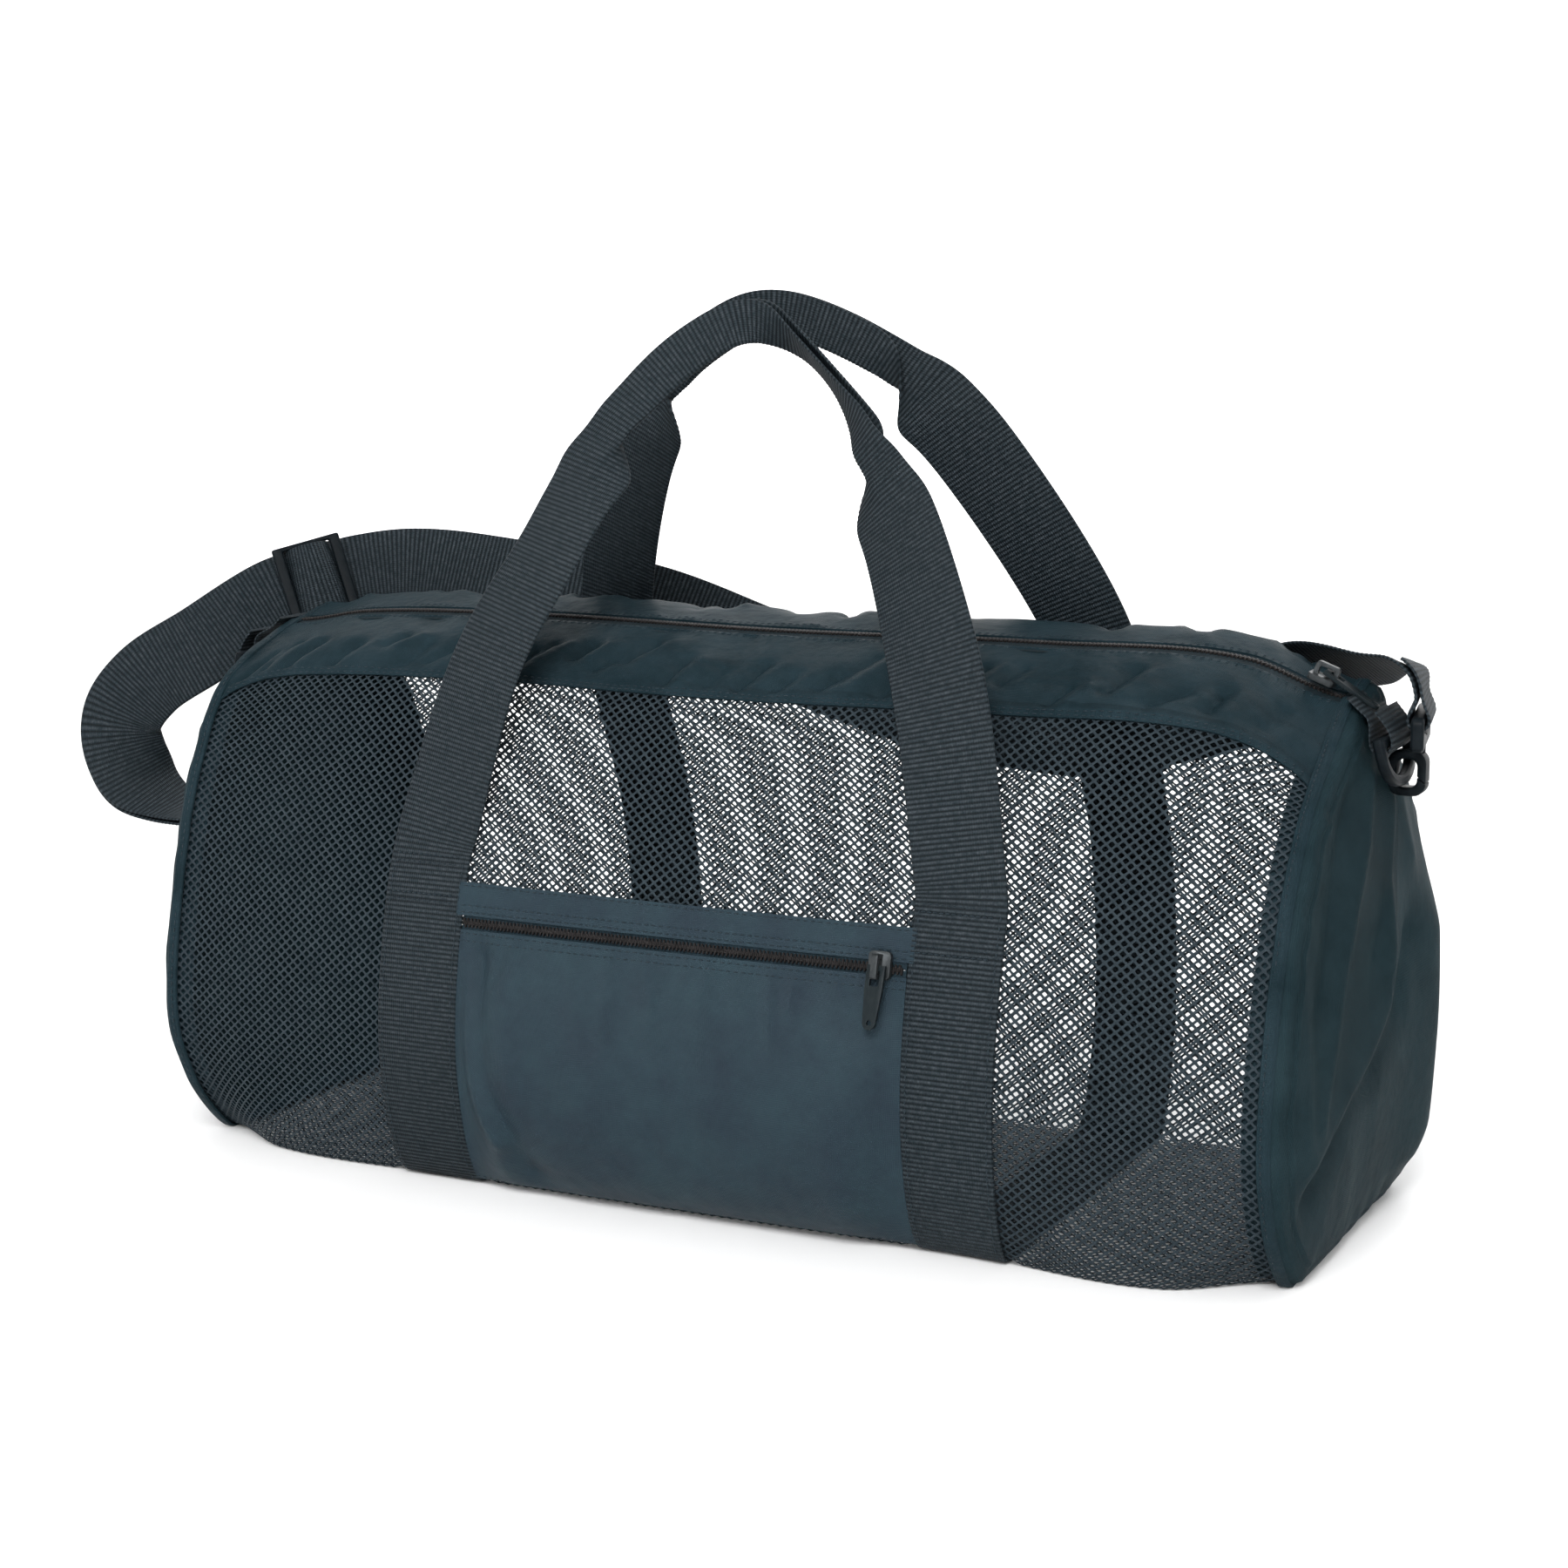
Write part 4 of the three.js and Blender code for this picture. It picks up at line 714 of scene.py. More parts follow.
def end_panel(label, side):
    """One end of the bag, from its rim to its middle."""
    reach = np.linspace(1, 0.01, PANEL_RINGS) ** RING_PACKING
    keys = np.linspace(BACK_SHOULDER, LOOP_END, PANEL_SPOKES, endpoint=False)
    rim = body_point(side * SEAM_X + 0 * keys, keys)
    y = reach[:, None] * rim[:, 1]
    z = PANEL_CENTRE_Z + reach[:, None] * (rim[:, 2] - PANEL_CENTRE_Z)
    profile = np.interp(reach, PANEL_REACH[::-1], PANEL_OUT[::-1])
    crumple = 0.5 * ripple(y / 15 + 3, z / 34, 31) + 0.9 * ripple(y / 34, z / 80 + 5, 37)
    gathered = RIM_GATHER * ripple(np.broadcast_to(keys * GATHERS_PER_KEY, y.shape), 0 * y, 41)
    near_rim = ease(reach, 0.78, 0.97) * np.clip((1 - reach) / 0.02, 0, 1)
    hold = np.clip((1 - reach) / FOLD_FADE, 0, 1)[:, None]
    out = profile[:, None] * PANEL_PUFF[label] + hold * (FOLD_SHARE[label] * folds(y, z, FOLDS) + crumple)
    out += gathered * near_rim[:, None]
    out -= RIM_GROOVE * np.exp(-(((reach - RIM_GROOVE_AT) / RIM_GROOVE_WIDE) ** 2))[:, None]
    grid = np.stack([side * (SEAM_X + out), y, z], -1)
    if side < 0:
        grid = grid[:, ::-1]
    piece = cloth(f"end_cloth_{label}", grid[::-1], END_NYLON, "nylon", ring=True, pole=True)
    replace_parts(piece, f"end_panel_{label}")
    print(piece.name, "stands out", round(float(np.max(out)), 1), "mm")


for label, side in SIDES.items():
    end_panel(label, side)

# %% Seam edges and the tapes inside them
SEAM_EDGE = 3.2  # mm of folded nylon outside each end seam
TAPE_WIDTH, TAPE_SEAT = 10, -2.6
SEAM_FLOOR, SEAM_THICK, SEAM_WAVE, WAVES_PER_KEY = 0.6, 0.8, 0.35, 5
SEAM_KEYS = np.linspace(BACK_SHOULDER, LOOP_END, 420, endpoint=False)
EDGE_STOPS, EDGE_OFFSETS = [SEAM_EDGE, SEAM_EDGE - 0.3, 2, 1, -0.6, -1.8], [0.2, 0.9, 1.0, 1.0, 1.0, 0.1]
TAPE_STOPS, TAPE_OFFSETS = [TAPE_WIDTH, 6, 3, 0.8], [TAPE_SEAT, TAPE_SEAT - 0.3, TAPE_SEAT, TAPE_SEAT]


def seam_ring(name, side, stops, offsets, node=None):
    """A nylon strip round an end seam; stops are mm inside the seam, and offsets how far each stands out."""
    x = side * (SEAM_X - np.array(stops, float))
    on_form = np.clip(x, -SEAM_X, SEAM_X)
    wave = SEAM_WAVE * ripple(SEAM_KEYS * WAVES_PER_KEY, 0 * SEAM_KEYS, 47)
    rows = [body_point(a + 0 * SEAM_KEYS, SEAM_KEYS, b + wave) for a, b in zip(on_form, offsets)]
    grid = np.stack(rows)
    grid[..., 0] = x[:, None]
    grid[..., 2] = np.maximum(grid[..., 2], SEAM_FLOOR)
    if side > 0:
        grid = grid[::-1]
    piece = cloth(name, grid, BAND_NYLON, "nylon", thick=SEAM_THICK, ring=True)
    if node:
        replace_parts(piece, node)


for label, side in SIDES.items():
    seam_ring(f"seam_edge_{label}", side, EDGE_STOPS, EDGE_OFFSETS)
    seam_ring(f"seam_binding_{label}", side, TAPE_STOPS, TAPE_OFFSETS, f"seam_tape_{label}")
print("seam strips", SEAM_EDGE, "mm outside and", TAPE_WIDTH, "mm inside")

# %% [markdown]
# ## Webbing
# Handles and strap are flat woven webbing with a rib every 2 mm and thinner, rounded edges. Ribs in the bump
# alone vanish at the outline, so they are real here: a strip of rows is laid out first, then cut finely along
# its length, and its thickness rises and falls with the ribs.

# %% Ribbed strips
RIB_HEIGHT, RIB_STEP = 0.34, 0.667
STRIP_COLUMNS = np.array([-19, -18.2, -1.6, -0.8, 0, 0.8, 1.6, 18.2, 19])
FLAT_COLUMNS = np.array([-19, -18.2, -7, 7, 18.2, 19])  # enough where nothing is folded
EDGE_AT, EDGE_SHARE = [0, 15, 18.2, 19], [1, 1, 0.82, 0.4]  # mm from the middle, share of the thickness
WEB_CREASE = 70  # degrees


def run_length(points):
    """Distance along a line of points, from its start to each of them."""
    return np.concatenate([[0], np.cumsum(np.linalg.norm(np.diff(points, axis=0), axis=1))])


def recut(rows, step):
    """The same strip with a row every step mm of its middle line."""
    run = run_length(rows[:, rows.shape[1] // 2])
    places = np.linspace(0, run[-1], max(2, round(run[-1] / step)))
    columns = [
        np.stack([np.interp(places, run, rows[:, c, k]) for k in range(3)], -1) for c in range(rows.shape[1])
    ]
    return np.stack(columns, axis=1)


def relax(rows, passes):
    """Evens out a strip's bends along its length, with both ends kept."""
    for _ in range(passes):
        rows = rows.copy()
        rows[1:-1] = (rows[:-2] + 2 * rows[1:-1] + rows[2:]) / 4
    return rows


def ribbed_strip(name, rows, columns, thick=WEB_THICK):
    """Webbing through a grid of rows in mm, with ribs across it and rounded edges."""
    fine = recut(rows, RIB_STEP)
    run = run_length(fine.mean(axis=1))
    rib = RIB_HEIGHT * (np.cos(2 * np.pi * run / RIB_PITCH) - 1) / 2
    half = (thick / 2 + rib[:, None]) * np.interp(np.abs(columns), EDGE_AT, EDGE_SHARE)
    normal = grid_normals(fine)
    points, faces = wall(fine + normal * half[..., None], fine - normal * half[..., None])
    flat = np.stack(np.broadcast_arrays(columns[None, :], run[:, None]), -1).reshape(-1, 2)
    uv = np.concatenate([flat, flat])
    piece = new_piece(name, points, faces, WEBBING, "webbing", uv=uv, crease=WEB_CREASE)
    print(name, "length", round(float(run[-1])), "mm", len(faces), "faces")
    return piece


# %% [markdown]
# ## Handles
# One length of webbing runs from under the bag up the front, over as a handle, and down the front again; a
# second does the same at the back. Each is sewn flat to the net up to the chest and free above it. In the
# grip the webbing is folded in half along its length. The rows follow the bag's form where they are sewn and
# a curve through a few chosen points where they are free, and one half of each row turns over the other.

# %% Handle runs
SEWN_TOP = 17.333
SEAT_MIDDLE = GAP + WEB_THICK / 2
FOLD_INSIDE, FOLD_OUTSIDE = 22, 24  # mm of opening on both sides of the grip's ends
FOLD_TUCK = 0.82  # how closely the turning half keeps to the other
FOLD_BEND = 3.1  # mm of webbing in the bend of the folded grip
FULL_FOLD = math.radians(177)
# x, y, z, turn in degrees, grip
FRONT_RUN = [
    (-98, -79, 222, -14, 0), (-80, -57, 268, -20, 0), (-63, -37, 311, -14, 1), (-50, -29, 332, -6, 1),
    (-31, -21, 350, 0, 1), (-8, -15, 361, -30, 1), (12, -15, 353, -80, 1), (37, -22, 332, -78, 1),
    (58, -34, 304, -12, 1), (103, -79, 226, 8, 0),
]
BACK_RUN = [
    (-117, 66, 226, 0, 0), (-82, 28, 313, 0, 0), (-70, 22, 331, 0, 1), (-46, 16, 351, 0, 1),
    (-14, 12, 364, 0, 1), (24, 17, 353, 0, 1), (46, 23.5, 337, 0, 1), (56, 27, 328, 0, 0),
    (114, 66, 226, 0, 0),
]
UNDER_START = 14.005  # key just in front of the middle of the underside
LEG_ROWS, LINE_PLACES, FOLD_PLACES, ROW_STEP = 150, 1600, 305, 2
TURN_PASSES, MIDDLE_PASSES, ROW_PASSES = 40, 90, 6  # how often bends are evened out
JOIN_ROWS = 4  # rows left out where the free run meets a leg


def smooth_line(points, count, even=True):
    """A smooth line through points, with count places; even spreads its bends as in a hanging strap."""
    points = np.asarray(points, float)
    ends = np.vstack([2 * points[0] - points[1], points, 2 * points[-1] - points[-2]])
    share = np.linspace(0, len(points) - 1, count)
    first = np.minimum(share.astype(int), len(points) - 2)
    p0, p1, p2, p3 = (ends[first + k] for k in range(4))
    leave, arrive = bend(p0, p1, p2, p3) if even else ((p2 - p0) / 2, (p3 - p1) / 2)
    places, _ = cubic(p1, p2, leave, arrive, (share - first)[:, None])
    return places


def folded_section(fold):
    """Places across and out of a strip's columns when its second half is turned by fold, in radians."""
    fine = np.linspace(-WEB_HALF, WEB_HALF, FOLD_PLACES)
    angle = fold[:, None] * np.clip(fine / FOLD_BEND + 0.5, 0, 1)
    step = fine[1] - fine[0]
    across = np.cumsum(np.cos(angle), axis=1) * step
    out = np.cumsum(np.sin(angle), axis=1) * step
    out *= 1 - FOLD_TUCK * np.sin(np.pi * fold / FULL_FOLD)[:, None]
    middle = (across.max(axis=1) + across.min(axis=1)) / 2
    across -= relax(middle, MIDDLE_PASSES)[:, None]
    out -= (out.max(axis=1) + out.min(axis=1))[:, None] / 2
    pick = np.searchsorted(fine, STRIP_COLUMNS - 1e-6)
    return across[:, pick], out[:, pick]


def unit(vectors):
    """The same directions with a length of 1."""
    return vectors / np.linalg.norm(vectors, axis=-1, keepdims=True)


def handle(name, node, side, run):
    """One handle with both of its legs; side is -1 at the front and 1 at the back."""
    keys = np.linspace(UNDER_START, SEWN_TOP, LEG_ROWS)
    mirrored = keys if side < 0 else 2 * UNDER_KEY - keys
    legs = {}
    for label, direction in (("left", 1), ("right", -1)):
        x = LEG_X[label] - side * direction * STRIP_COLUMNS
        legs[label] = body_point(x[None, :] + 0 * mirrored[:, None], mirrored[:, None], SEAT_MIDDLE)
    middle = len(STRIP_COLUMNS) // 2
    table = np.array(run, float)
    places = np.vstack([legs["left"][-1, middle], table[:, :3], legs["right"][-1, middle]])
    line = smooth_line(places, LINE_PLACES)
    share = np.linspace(0, len(places) - 1, LINE_PLACES)
    turn = np.interp(share, np.arange(len(places)), [0, *table[:, 3], 0])
    length = run_length(line)
    even = np.linspace(0, length[-1], round(length[-1] / ROW_STEP))
    line = np.stack([np.interp(even, length, line[:, k]) for k in range(3)], -1)
    turn = np.radians(relax(np.interp(even, length, turn), TURN_PASSES))
    folded = table[table[:, 4] > 0, :3]
    start, end = (even[np.argmin(np.linalg.norm(line - place, axis=1))] for place in (folded[0], folded[-1]))
    openness = ease(np.maximum(start - even, even - end), -FOLD_INSIDE, FOLD_OUTSIDE)
    along = unit(np.gradient(line, axis=0))
    facing = np.stack([-side * np.sin(turn), side * np.cos(turn), 0 * turn], -1)
    across = unit(np.cross(along, facing))
    out = np.cross(across, along)
    a, b = folded_section(FULL_FOLD * (1 - openness))
    if side > 0:
        a, b = -a[:, ::-1], b[:, ::-1]
    free = line[:, None] + across[:, None] * a[..., None] - out[:, None] * b[..., None]
    rows = np.concatenate([legs["left"], free[JOIN_ROWS:-JOIN_ROWS], legs["right"][::-1]])
    rows = relax(recut(rows, ROW_STEP), ROW_PASSES)
    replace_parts(ribbed_strip(name, rows, STRIP_COLUMNS), node)


handle("handle_webbing_front", "handle_front", -1, FRONT_RUN)
handle("handle_webbing_back", "handle_back", 1, BACK_RUN)

# %% [markdown]
# ## Shoulder strap
# The strap starts under the adjuster, goes down to the left hook, turns back through the adjuster, runs
# behind the bag and ends round the right hook's bar. Its middle line and the direction of its width are a
# short table of places, the same as in the solids; where it is doubled, two layers lie either side of it.

# %% Strap rows
LAYER, BAR_TURN, BAR_STEPS = 1.15, 4.2, 9
SEWN_BACK, ADJUSTER_ROW = 2.6, 9
# mm from the adjuster's middle, and how far the strap is lifted over its bar there
HUMP_AT, HUMP_LIFT = [0, 3, 6, 8.4, 10, 11, 12.5], [13, 12.5, 10.9, 8.4, 5, 2, 1.15]
TWIST_FROM, TWIST_TO = 6, 3.5  # rows before the right hook where the table's width takes over
STRAP_STEP = 1.5
LEFT_BAR = (-271.5, 0, 166.4)
RIGHT_BAR = (269.9, 9, 210.3)
RIGHT_SWIVEL = math.radians(10)
RIGHT_WIDTH = (math.sin(RIGHT_SWIVEL), -math.cos(RIGHT_SWIVEL), 0)
# place of the middle line, direction of the width
STRAP_RUN = [
    (LEFT_BAR, (0, -1, 0)), ((-271.5, 0, 156.4), (0, -1, 0)), ((-288, 0, 131), (0, -1, 0)),
    ((-313, -2, 128), (-0.15, -0.97, 0)), ((-337, -6, 141), (-0.55, -0.8, 0)),
    ((-346, -9, 168), (-0.92, -0.38, 0)), ((-332, -6, 190), (-0.75, -0.25, 0.6)),
    ((-307, 6, 208), (-0.6, -0.1, 0.78)), ((-286, 34, 227.5), (-0.3, 0.1, 0.93)),
    ((-270, 47, 233), (-0.3, 0.1, 0.93)), ((-254, 60, 238.5), (-0.3, 0.1, 0.93)),
    ((-226, 69, 242), (-0.1, 0.3, 0.92)), ((-182, 73, 239), (0, 0.4, 0.91)),
    ((-114, 93, 227), (0.1, 0.3, 0.95)), ((-50, 107, 204), (0.1, 0.25, 0.96)),
    ((20, 113, 184), (0, 0.2, 0.97)), ((90, 112, 177), (0, 0.15, 0.98)), ((142, 100, 188), (0, 0, 1)),
    ((187, 71, 206), (-0.15, -0.5, 0.85)), ((220, 45, 223), (-0.3, -0.72, 0.6)),
    ((246, 29.5, 226), (-0.15, -0.9, 0.4)), ((258, 20.5, 229), (0, -0.96, 0.25)),
    ((267, 13, 226.5), (0.1, -0.98, 0.1)), ((269.9, 9, 218.8), RIGHT_WIDTH), (RIGHT_BAR, RIGHT_WIDTH),
]
STRAP_PER_ROW = 24
strap_last = len(STRAP_RUN) - 1
strap_keys = np.linspace(0, strap_last, strap_last * STRAP_PER_ROW + 1)
strap_line = smooth_line([row[0] for row in STRAP_RUN], len(strap_keys), even=False)
strap_width = unit(smooth_line([row[1] for row in STRAP_RUN], len(strap_keys), even=False))
strap_along = unit(np.gradient(strap_line, axis=0))
strap_out = unit(np.cross(strap_along, strap_width))
over_corner = ease(strap_keys, strap_last - TWIST_FROM, strap_last - TWIST_TO)[:, None]
strap_across = unit(np.cross(strap_out, strap_along) * (1 - over_corner) + strap_width * over_corner)
strap_run = run_length(strap_line)
print("strap run from bar to bar", round(float(strap_run[-1])), "mm")

# %% Strap
near_bar = ease(np.minimum(strap_keys, strap_last - strap_keys), 0, 1)
bar_lift = BAR_TURN + (LAYER - BAR_TURN) * near_bar
from_adjuster = np.abs(strap_run - strap_run[ADJUSTER_ROW * STRAP_PER_ROW])
main_lift = np.where(from_adjuster < HUMP_AT[-1], np.interp(from_adjuster, HUMP_AT, HUMP_LIFT), bar_lift)


def strap_rows(pick, lift):
    """Rows of the strap at the picked places, moved out by lift."""
    middle = strap_line[pick] + strap_out[pick] * lift[pick, None]
    return middle[:, None] - strap_across[pick][:, None] * FLAT_COLUMNS[:, None]


def bar_rows(at, forward):
    """Rows round a hook's bar, from one layer to the other."""
    angle = np.linspace(0, np.pi, BAR_STEPS)[1:-1, None]
    round_bar = strap_out[at] * np.cos(angle) + strap_along[at] * np.sin(angle)
    middle = strap_line[at] + BAR_TURN * forward * round_bar
    return middle[:, None] - strap_across[at] * FLAT_COLUMNS[:, None]


everywhere = np.arange(len(strap_keys))
under_left = everywhere[strap_keys <= ADJUSTER_ROW][::-1]
under_right = everywhere[strap_keys >= strap_last - SEWN_BACK][::-1]
rows = np.concatenate([
    strap_rows(under_left, -bar_lift),
    bar_rows(0, -1),
    strap_rows(everywhere, main_lift),
    bar_rows(-1, 1),
    strap_rows(under_right, -bar_lift),
])
strap = ribbed_strip("strap_webbing", relax(recut(rows, STRAP_STEP), 1), FLAT_COLUMNS)
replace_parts(strap, "shoulder_strap")

# %% [markdown]
# ## Front pocket
# The pocket is a panel of smoother nylon between the handle legs, closed along its top by a zip under a
# narrow header. It hangs a little slack: it stands out in the middle, soft folds fall from the zip's left end
# and small gathers hang below the zip. The panel is a grid on the bag's form, with its fullness and folds
# added as height.

# %% Pocket panel and header
POCKET_LEFT = LEG_X["left"] + WEB_HALF + GAP
POCKET_RIGHT = LEG_X["right"] - WEB_HALF - GAP
POCKET_SEAT, POCKET_BULGE = 1.2, 11.5
POCKET_FOOT, POCKET_ZIP, HEADER_TOP = 15.18, 16.86, 17.12
COIL_KEYS, TAPE_KEYS, KEY_GAP = 0.026, 0.05, 0.006
TAPE_SHOWN = 0.4  # share of each tape that the cloth leaves free
zip_low = POCKET_ZIP - COIL_KEYS / 2 - KEY_GAP
zip_high = POCKET_ZIP + COIL_KEYS / 2 + KEY_GAP
panel_top = zip_low - TAPE_KEYS * TAPE_SHOWN
header_low = zip_high + TAPE_KEYS * TAPE_SHOWN
POCKET_KEY = 75  # mm of cloth to a key there
POCKET_LAP = 3  # mm of cloth under each handle leg
POCKET_COLUMNS, POCKET_STEP, LEAST_ROWS = 130, 1.8, 8
# x and height above the foot along a fold, width, height
POCKET_FOLDS = [
    ([(-95, 104), (-87, 66), (-74, 36)], 5, 4.4), ([(-86, 112), (-77, 64), (-64, 18)], 7, -4.6),
    ([(-72, 112), (-66, 60)], 8, 1.6), ([(-60, 118), (-30, 60)], 9, 1.2), ([(60, 116), (34, 70)], 12, 1.0),
    ([(92, 98), (80, 30)], 8, 1.4), ([(0, 92), (6, 22)], 18, -1.0),
]
UNDER_ZIP, ZIP_GATHERS, POCKET_SEED = 121, 15, 71  # mm above the foot, how many, seed
draw = np.random.default_rng(POCKET_SEED)
for x in np.cumsum(draw.uniform(7, 19, ZIP_GATHERS)) + POCKET_LEFT:
    drop, lean = draw.uniform(14, 38), draw.uniform(-6, 8)
    width, depth = draw.uniform(2.6, 4.5), draw.uniform(0.6, 2.2)
    POCKET_FOLDS.append(([(x, UNDER_ZIP), (x + lean, UNDER_ZIP - drop)], width, -depth))


def pocket_rise(x, u):
    """How far the pocket stands out: full in the middle, held at its edges and steeper on its left."""
    share = np.clip((x - POCKET_LEFT) / (POCKET_RIGHT - POCKET_LEFT), 0, 1)
    across = ease(share, 0, 0.11) * ease(1 - share, 0, 0.14)
    up = np.sin(np.pi * np.clip((u - POCKET_FOOT) / (POCKET_ZIP - POCKET_FOOT), 0, 1))
    hold = ease(share, 0, 0.06) * ease(1 - share, 0, 0.06) * np.clip(up * 4, 0, 1)
    crumple = 0.45 * ripple(x / 17 + 0.3 * u, u * 3.1, 53) + 0.2 * ripple(x / 6, u * 9, 59)
    slack = folds(x, (u - POCKET_FOOT) * POCKET_KEY, POCKET_FOLDS)
    return POCKET_BULGE * across * up**0.7 + hold * (slack + crumple)


def header_rise(x, u):
    """How far the header stands out: a little, and unevenly."""
    return 0.5 + 0.35 * ripple(x / 9, u * 8, 61)


def pocket_sheet(name, node, low, high, rise):
    """A sheet of the pocket between two keys; rise is how far it stands out, a function of x and key."""
    x = np.linspace(POCKET_LEFT - POCKET_LAP, POCKET_RIGHT + POCKET_LAP, POCKET_COLUMNS)
    keys = np.linspace(low, high, max(LEAST_ROWS, round((high - low) * POCKET_KEY / POCKET_STEP)))
    x_grid, key_grid = np.meshgrid(x, keys, indexing="ij")
    grid = body_point(x_grid, key_grid, POCKET_SEAT + rise(x_grid, key_grid))
    piece = cloth(name, grid, POCKET_NYLON, "pocket_nylon")
    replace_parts(piece, node)


pocket_sheet("pocket_cloth", "pocket_panel", POCKET_FOOT, panel_top, pocket_rise)
pocket_sheet("pocket_header_cloth", "pocket_header", header_low, HEADER_TOP, header_rise)

# %% [markdown]
# ## Zips
# Both zips are nylon coil zips: two woven tapes with a row of teeth between them. A tooth is modelled once,
# as a small bar with bevelled edges, and copied along the zip, alternately from each side. All the teeth of
# one zip are one piece, because nobody would take a single tooth away.

# %% One zip tooth
TOOTH_LONG, TOOTH_WIDE, TOOTH_TALL, TOOTH_BEVEL = 2.9, 0.95, 1.3, 0.3
ZIP_PITCH = 0.85


def take_model(piece):
    """A modelled object's points in mm and faces; the object itself is removed."""
    points = np.array([v.co for v in piece.data.vertices]) / MM
    faces = [list(p.vertices) for p in piece.data.polygons]
    bpy.data.objects.remove(piece)
    return points, faces


def model_tooth():
    """A small bar with bevelled edges."""
    bpy.ops.object.select_all(action="DESELECT")
    bpy.ops.mesh.primitive_cube_add(size=1)
    tooth = bpy.context.object
    tooth.scale = (TOOTH_WIDE * MM, TOOTH_LONG * MM, TOOTH_TALL * MM)
    bpy.ops.object.transform_apply(location=False, rotation=False, scale=True)
    bpy.ops.object.mode_set(mode="EDIT")
    bpy.ops.mesh.select_all(action="SELECT")
    bpy.ops.mesh.bevel(offset=TOOTH_BEVEL * MM, offset_type="OFFSET", segments=1)
    bpy.ops.object.mode_set(mode="OBJECT")
    return take_model(tooth)


tooth_points, tooth_faces = model_tooth()
print("tooth", len(tooth_faces), "faces")

# %% Zip tapes and teeth
TOOTH_SHIFT, TOOTH_CREASE = 0.55, 40  # mm from the middle of the zip, degrees
TAPE_STEP, TAPE_ROWS, TAPE_THICK = 2, 6, 0.8
TOP_ZIP, TOP_ZIP_KEY = 20.5, 12  # its key, and mm of cloth to a key there
TOP_TAPES = {"front": (19.9, 20.49), "back": (20.51, 21.1)}
TOP_TAPE_SEAT, POCKET_TAPE_SEAT = -0.2, 0.7
TOP_TEETH_SEAT, POCKET_TEETH_SEAT = 0.5, 1.6
TAPE_SPLIT = 0.001  # keys from the middle of the pocket's zip to each tape


def repeat(points, faces, origins, frames):
    """Copies of a model at origins, each turned by its own frame of three unit columns."""
    count = len(points)
    placed = np.einsum("nij,kj->nki", frames, points) + origins[:, None]
    all_faces = [[index + n * count for index in face] for n in range(len(origins)) for face in faces]
    return placed.reshape(-1, 3), all_faces


def frames_on_body(x, u, offset, along_x=True):
    """Places on the bag with frames along its length, up its surface and out."""
    here = body_point(x, u, offset)
    out = unit(body_point(x, u, np.asarray(offset) + 1) - here)
    along = unit(body_point(x + 0.5, u, offset) - body_point(x - 0.5, u, offset))
    up = unit(np.cross(out, along))
    along = np.cross(up, out)
    columns = (along, up, out) if along_x else (up, -along, out)
    return here, np.stack(columns, axis=-1)


def zip_teeth(name, node, x_low, x_high, key, key_span_mm, offset):
    """A row of teeth along the bag, alternating from one side of the middle to the other."""
    x = np.arange(x_low, x_high, ZIP_PITCH)
    side = np.where(np.arange(len(x)) % 2 == 0, 1.0, -1.0)
    origins, frames = frames_on_body(x, key + side * TOOTH_SHIFT / key_span_mm, offset)
    points, faces = repeat(tooth_points, tooth_faces, origins, frames)
    piece = new_piece(name, points, faces, ZIP_COIL, "zip", crease=TOOTH_CREASE)
    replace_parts(piece, node)
    print(name, len(x), "teeth")


def zip_tape(name, node, x_low, x_high, low, high, offset, material):
    """One side's woven tape."""
    x = np.linspace(x_low, x_high, round((x_high - x_low) / TAPE_STEP))
    keys = np.linspace(low, high, TAPE_ROWS)
    x_grid, key_grid = np.meshgrid(x, keys, indexing="ij")
    piece = cloth(name, body_point(x_grid, key_grid, offset), material, "zip", thick=TAPE_THICK)
    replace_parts(piece, node)


for label, keys in TOP_TAPES.items():
    zip_tape(f"zip_tape_{label}", f"top_zip_tape_{label}", -SEAM_X, SEAM_X, *keys, TOP_TAPE_SEAT, ZIP_TAPE)
zip_teeth("zip_teeth_top", "top_zip_coil", 2 - SEAM_X, SEAM_X - 2, TOP_ZIP, TOP_ZIP_KEY, TOP_TEETH_SEAT)
zip_tape("pocket_tape_lower", "pocket_zip_tape_lower", POCKET_LEFT, POCKET_RIGHT,
         zip_low - TAPE_KEYS, POCKET_ZIP - TAPE_SPLIT, POCKET_TAPE_SEAT, POCKET_TAPE)
zip_tape("pocket_tape_upper", "pocket_zip_tape_upper", POCKET_LEFT, POCKET_RIGHT,
         POCKET_ZIP + TAPE_SPLIT, zip_high + TAPE_KEYS, POCKET_TAPE_SEAT, POCKET_TAPE)
zip_teeth("zip_teeth_pocket", "pocket_zip_coil", POCKET_LEFT + 1, POCKET_RIGHT - 1,
          POCKET_ZIP, POCKET_KEY, POCKET_TEETH_SEAT)

# %% [markdown]
# ## Adjuster
# The strap's length is set on a moulded slide with two slots: the webbing comes up through one, over the
# middle bar and down through the other. It starts as a flat plane the size of the slide, cut by six bisects.
# The two slots are deleted, the rest is extruded upwards, and a bevel rounds the bars.

# %% Strap slide
SLIDE_HALF, SLIDE_WIDE, SLIDE_LOW, SLIDE_TALL = 16.4, 21.8, 2.7, 4.0
SLOT_FROM, SLOT_TO, SLOT_WIDE = 2.6, 11.4, 19.6
SLIDE_ROUNDING, SLIDE_ROUNDS, SLIDE_SMOOTH = 1.2, 3, 50  # mm, faces across an edge, degrees
BEVEL_ANGLE = math.radians(40)  # sharper edges than this are rounded


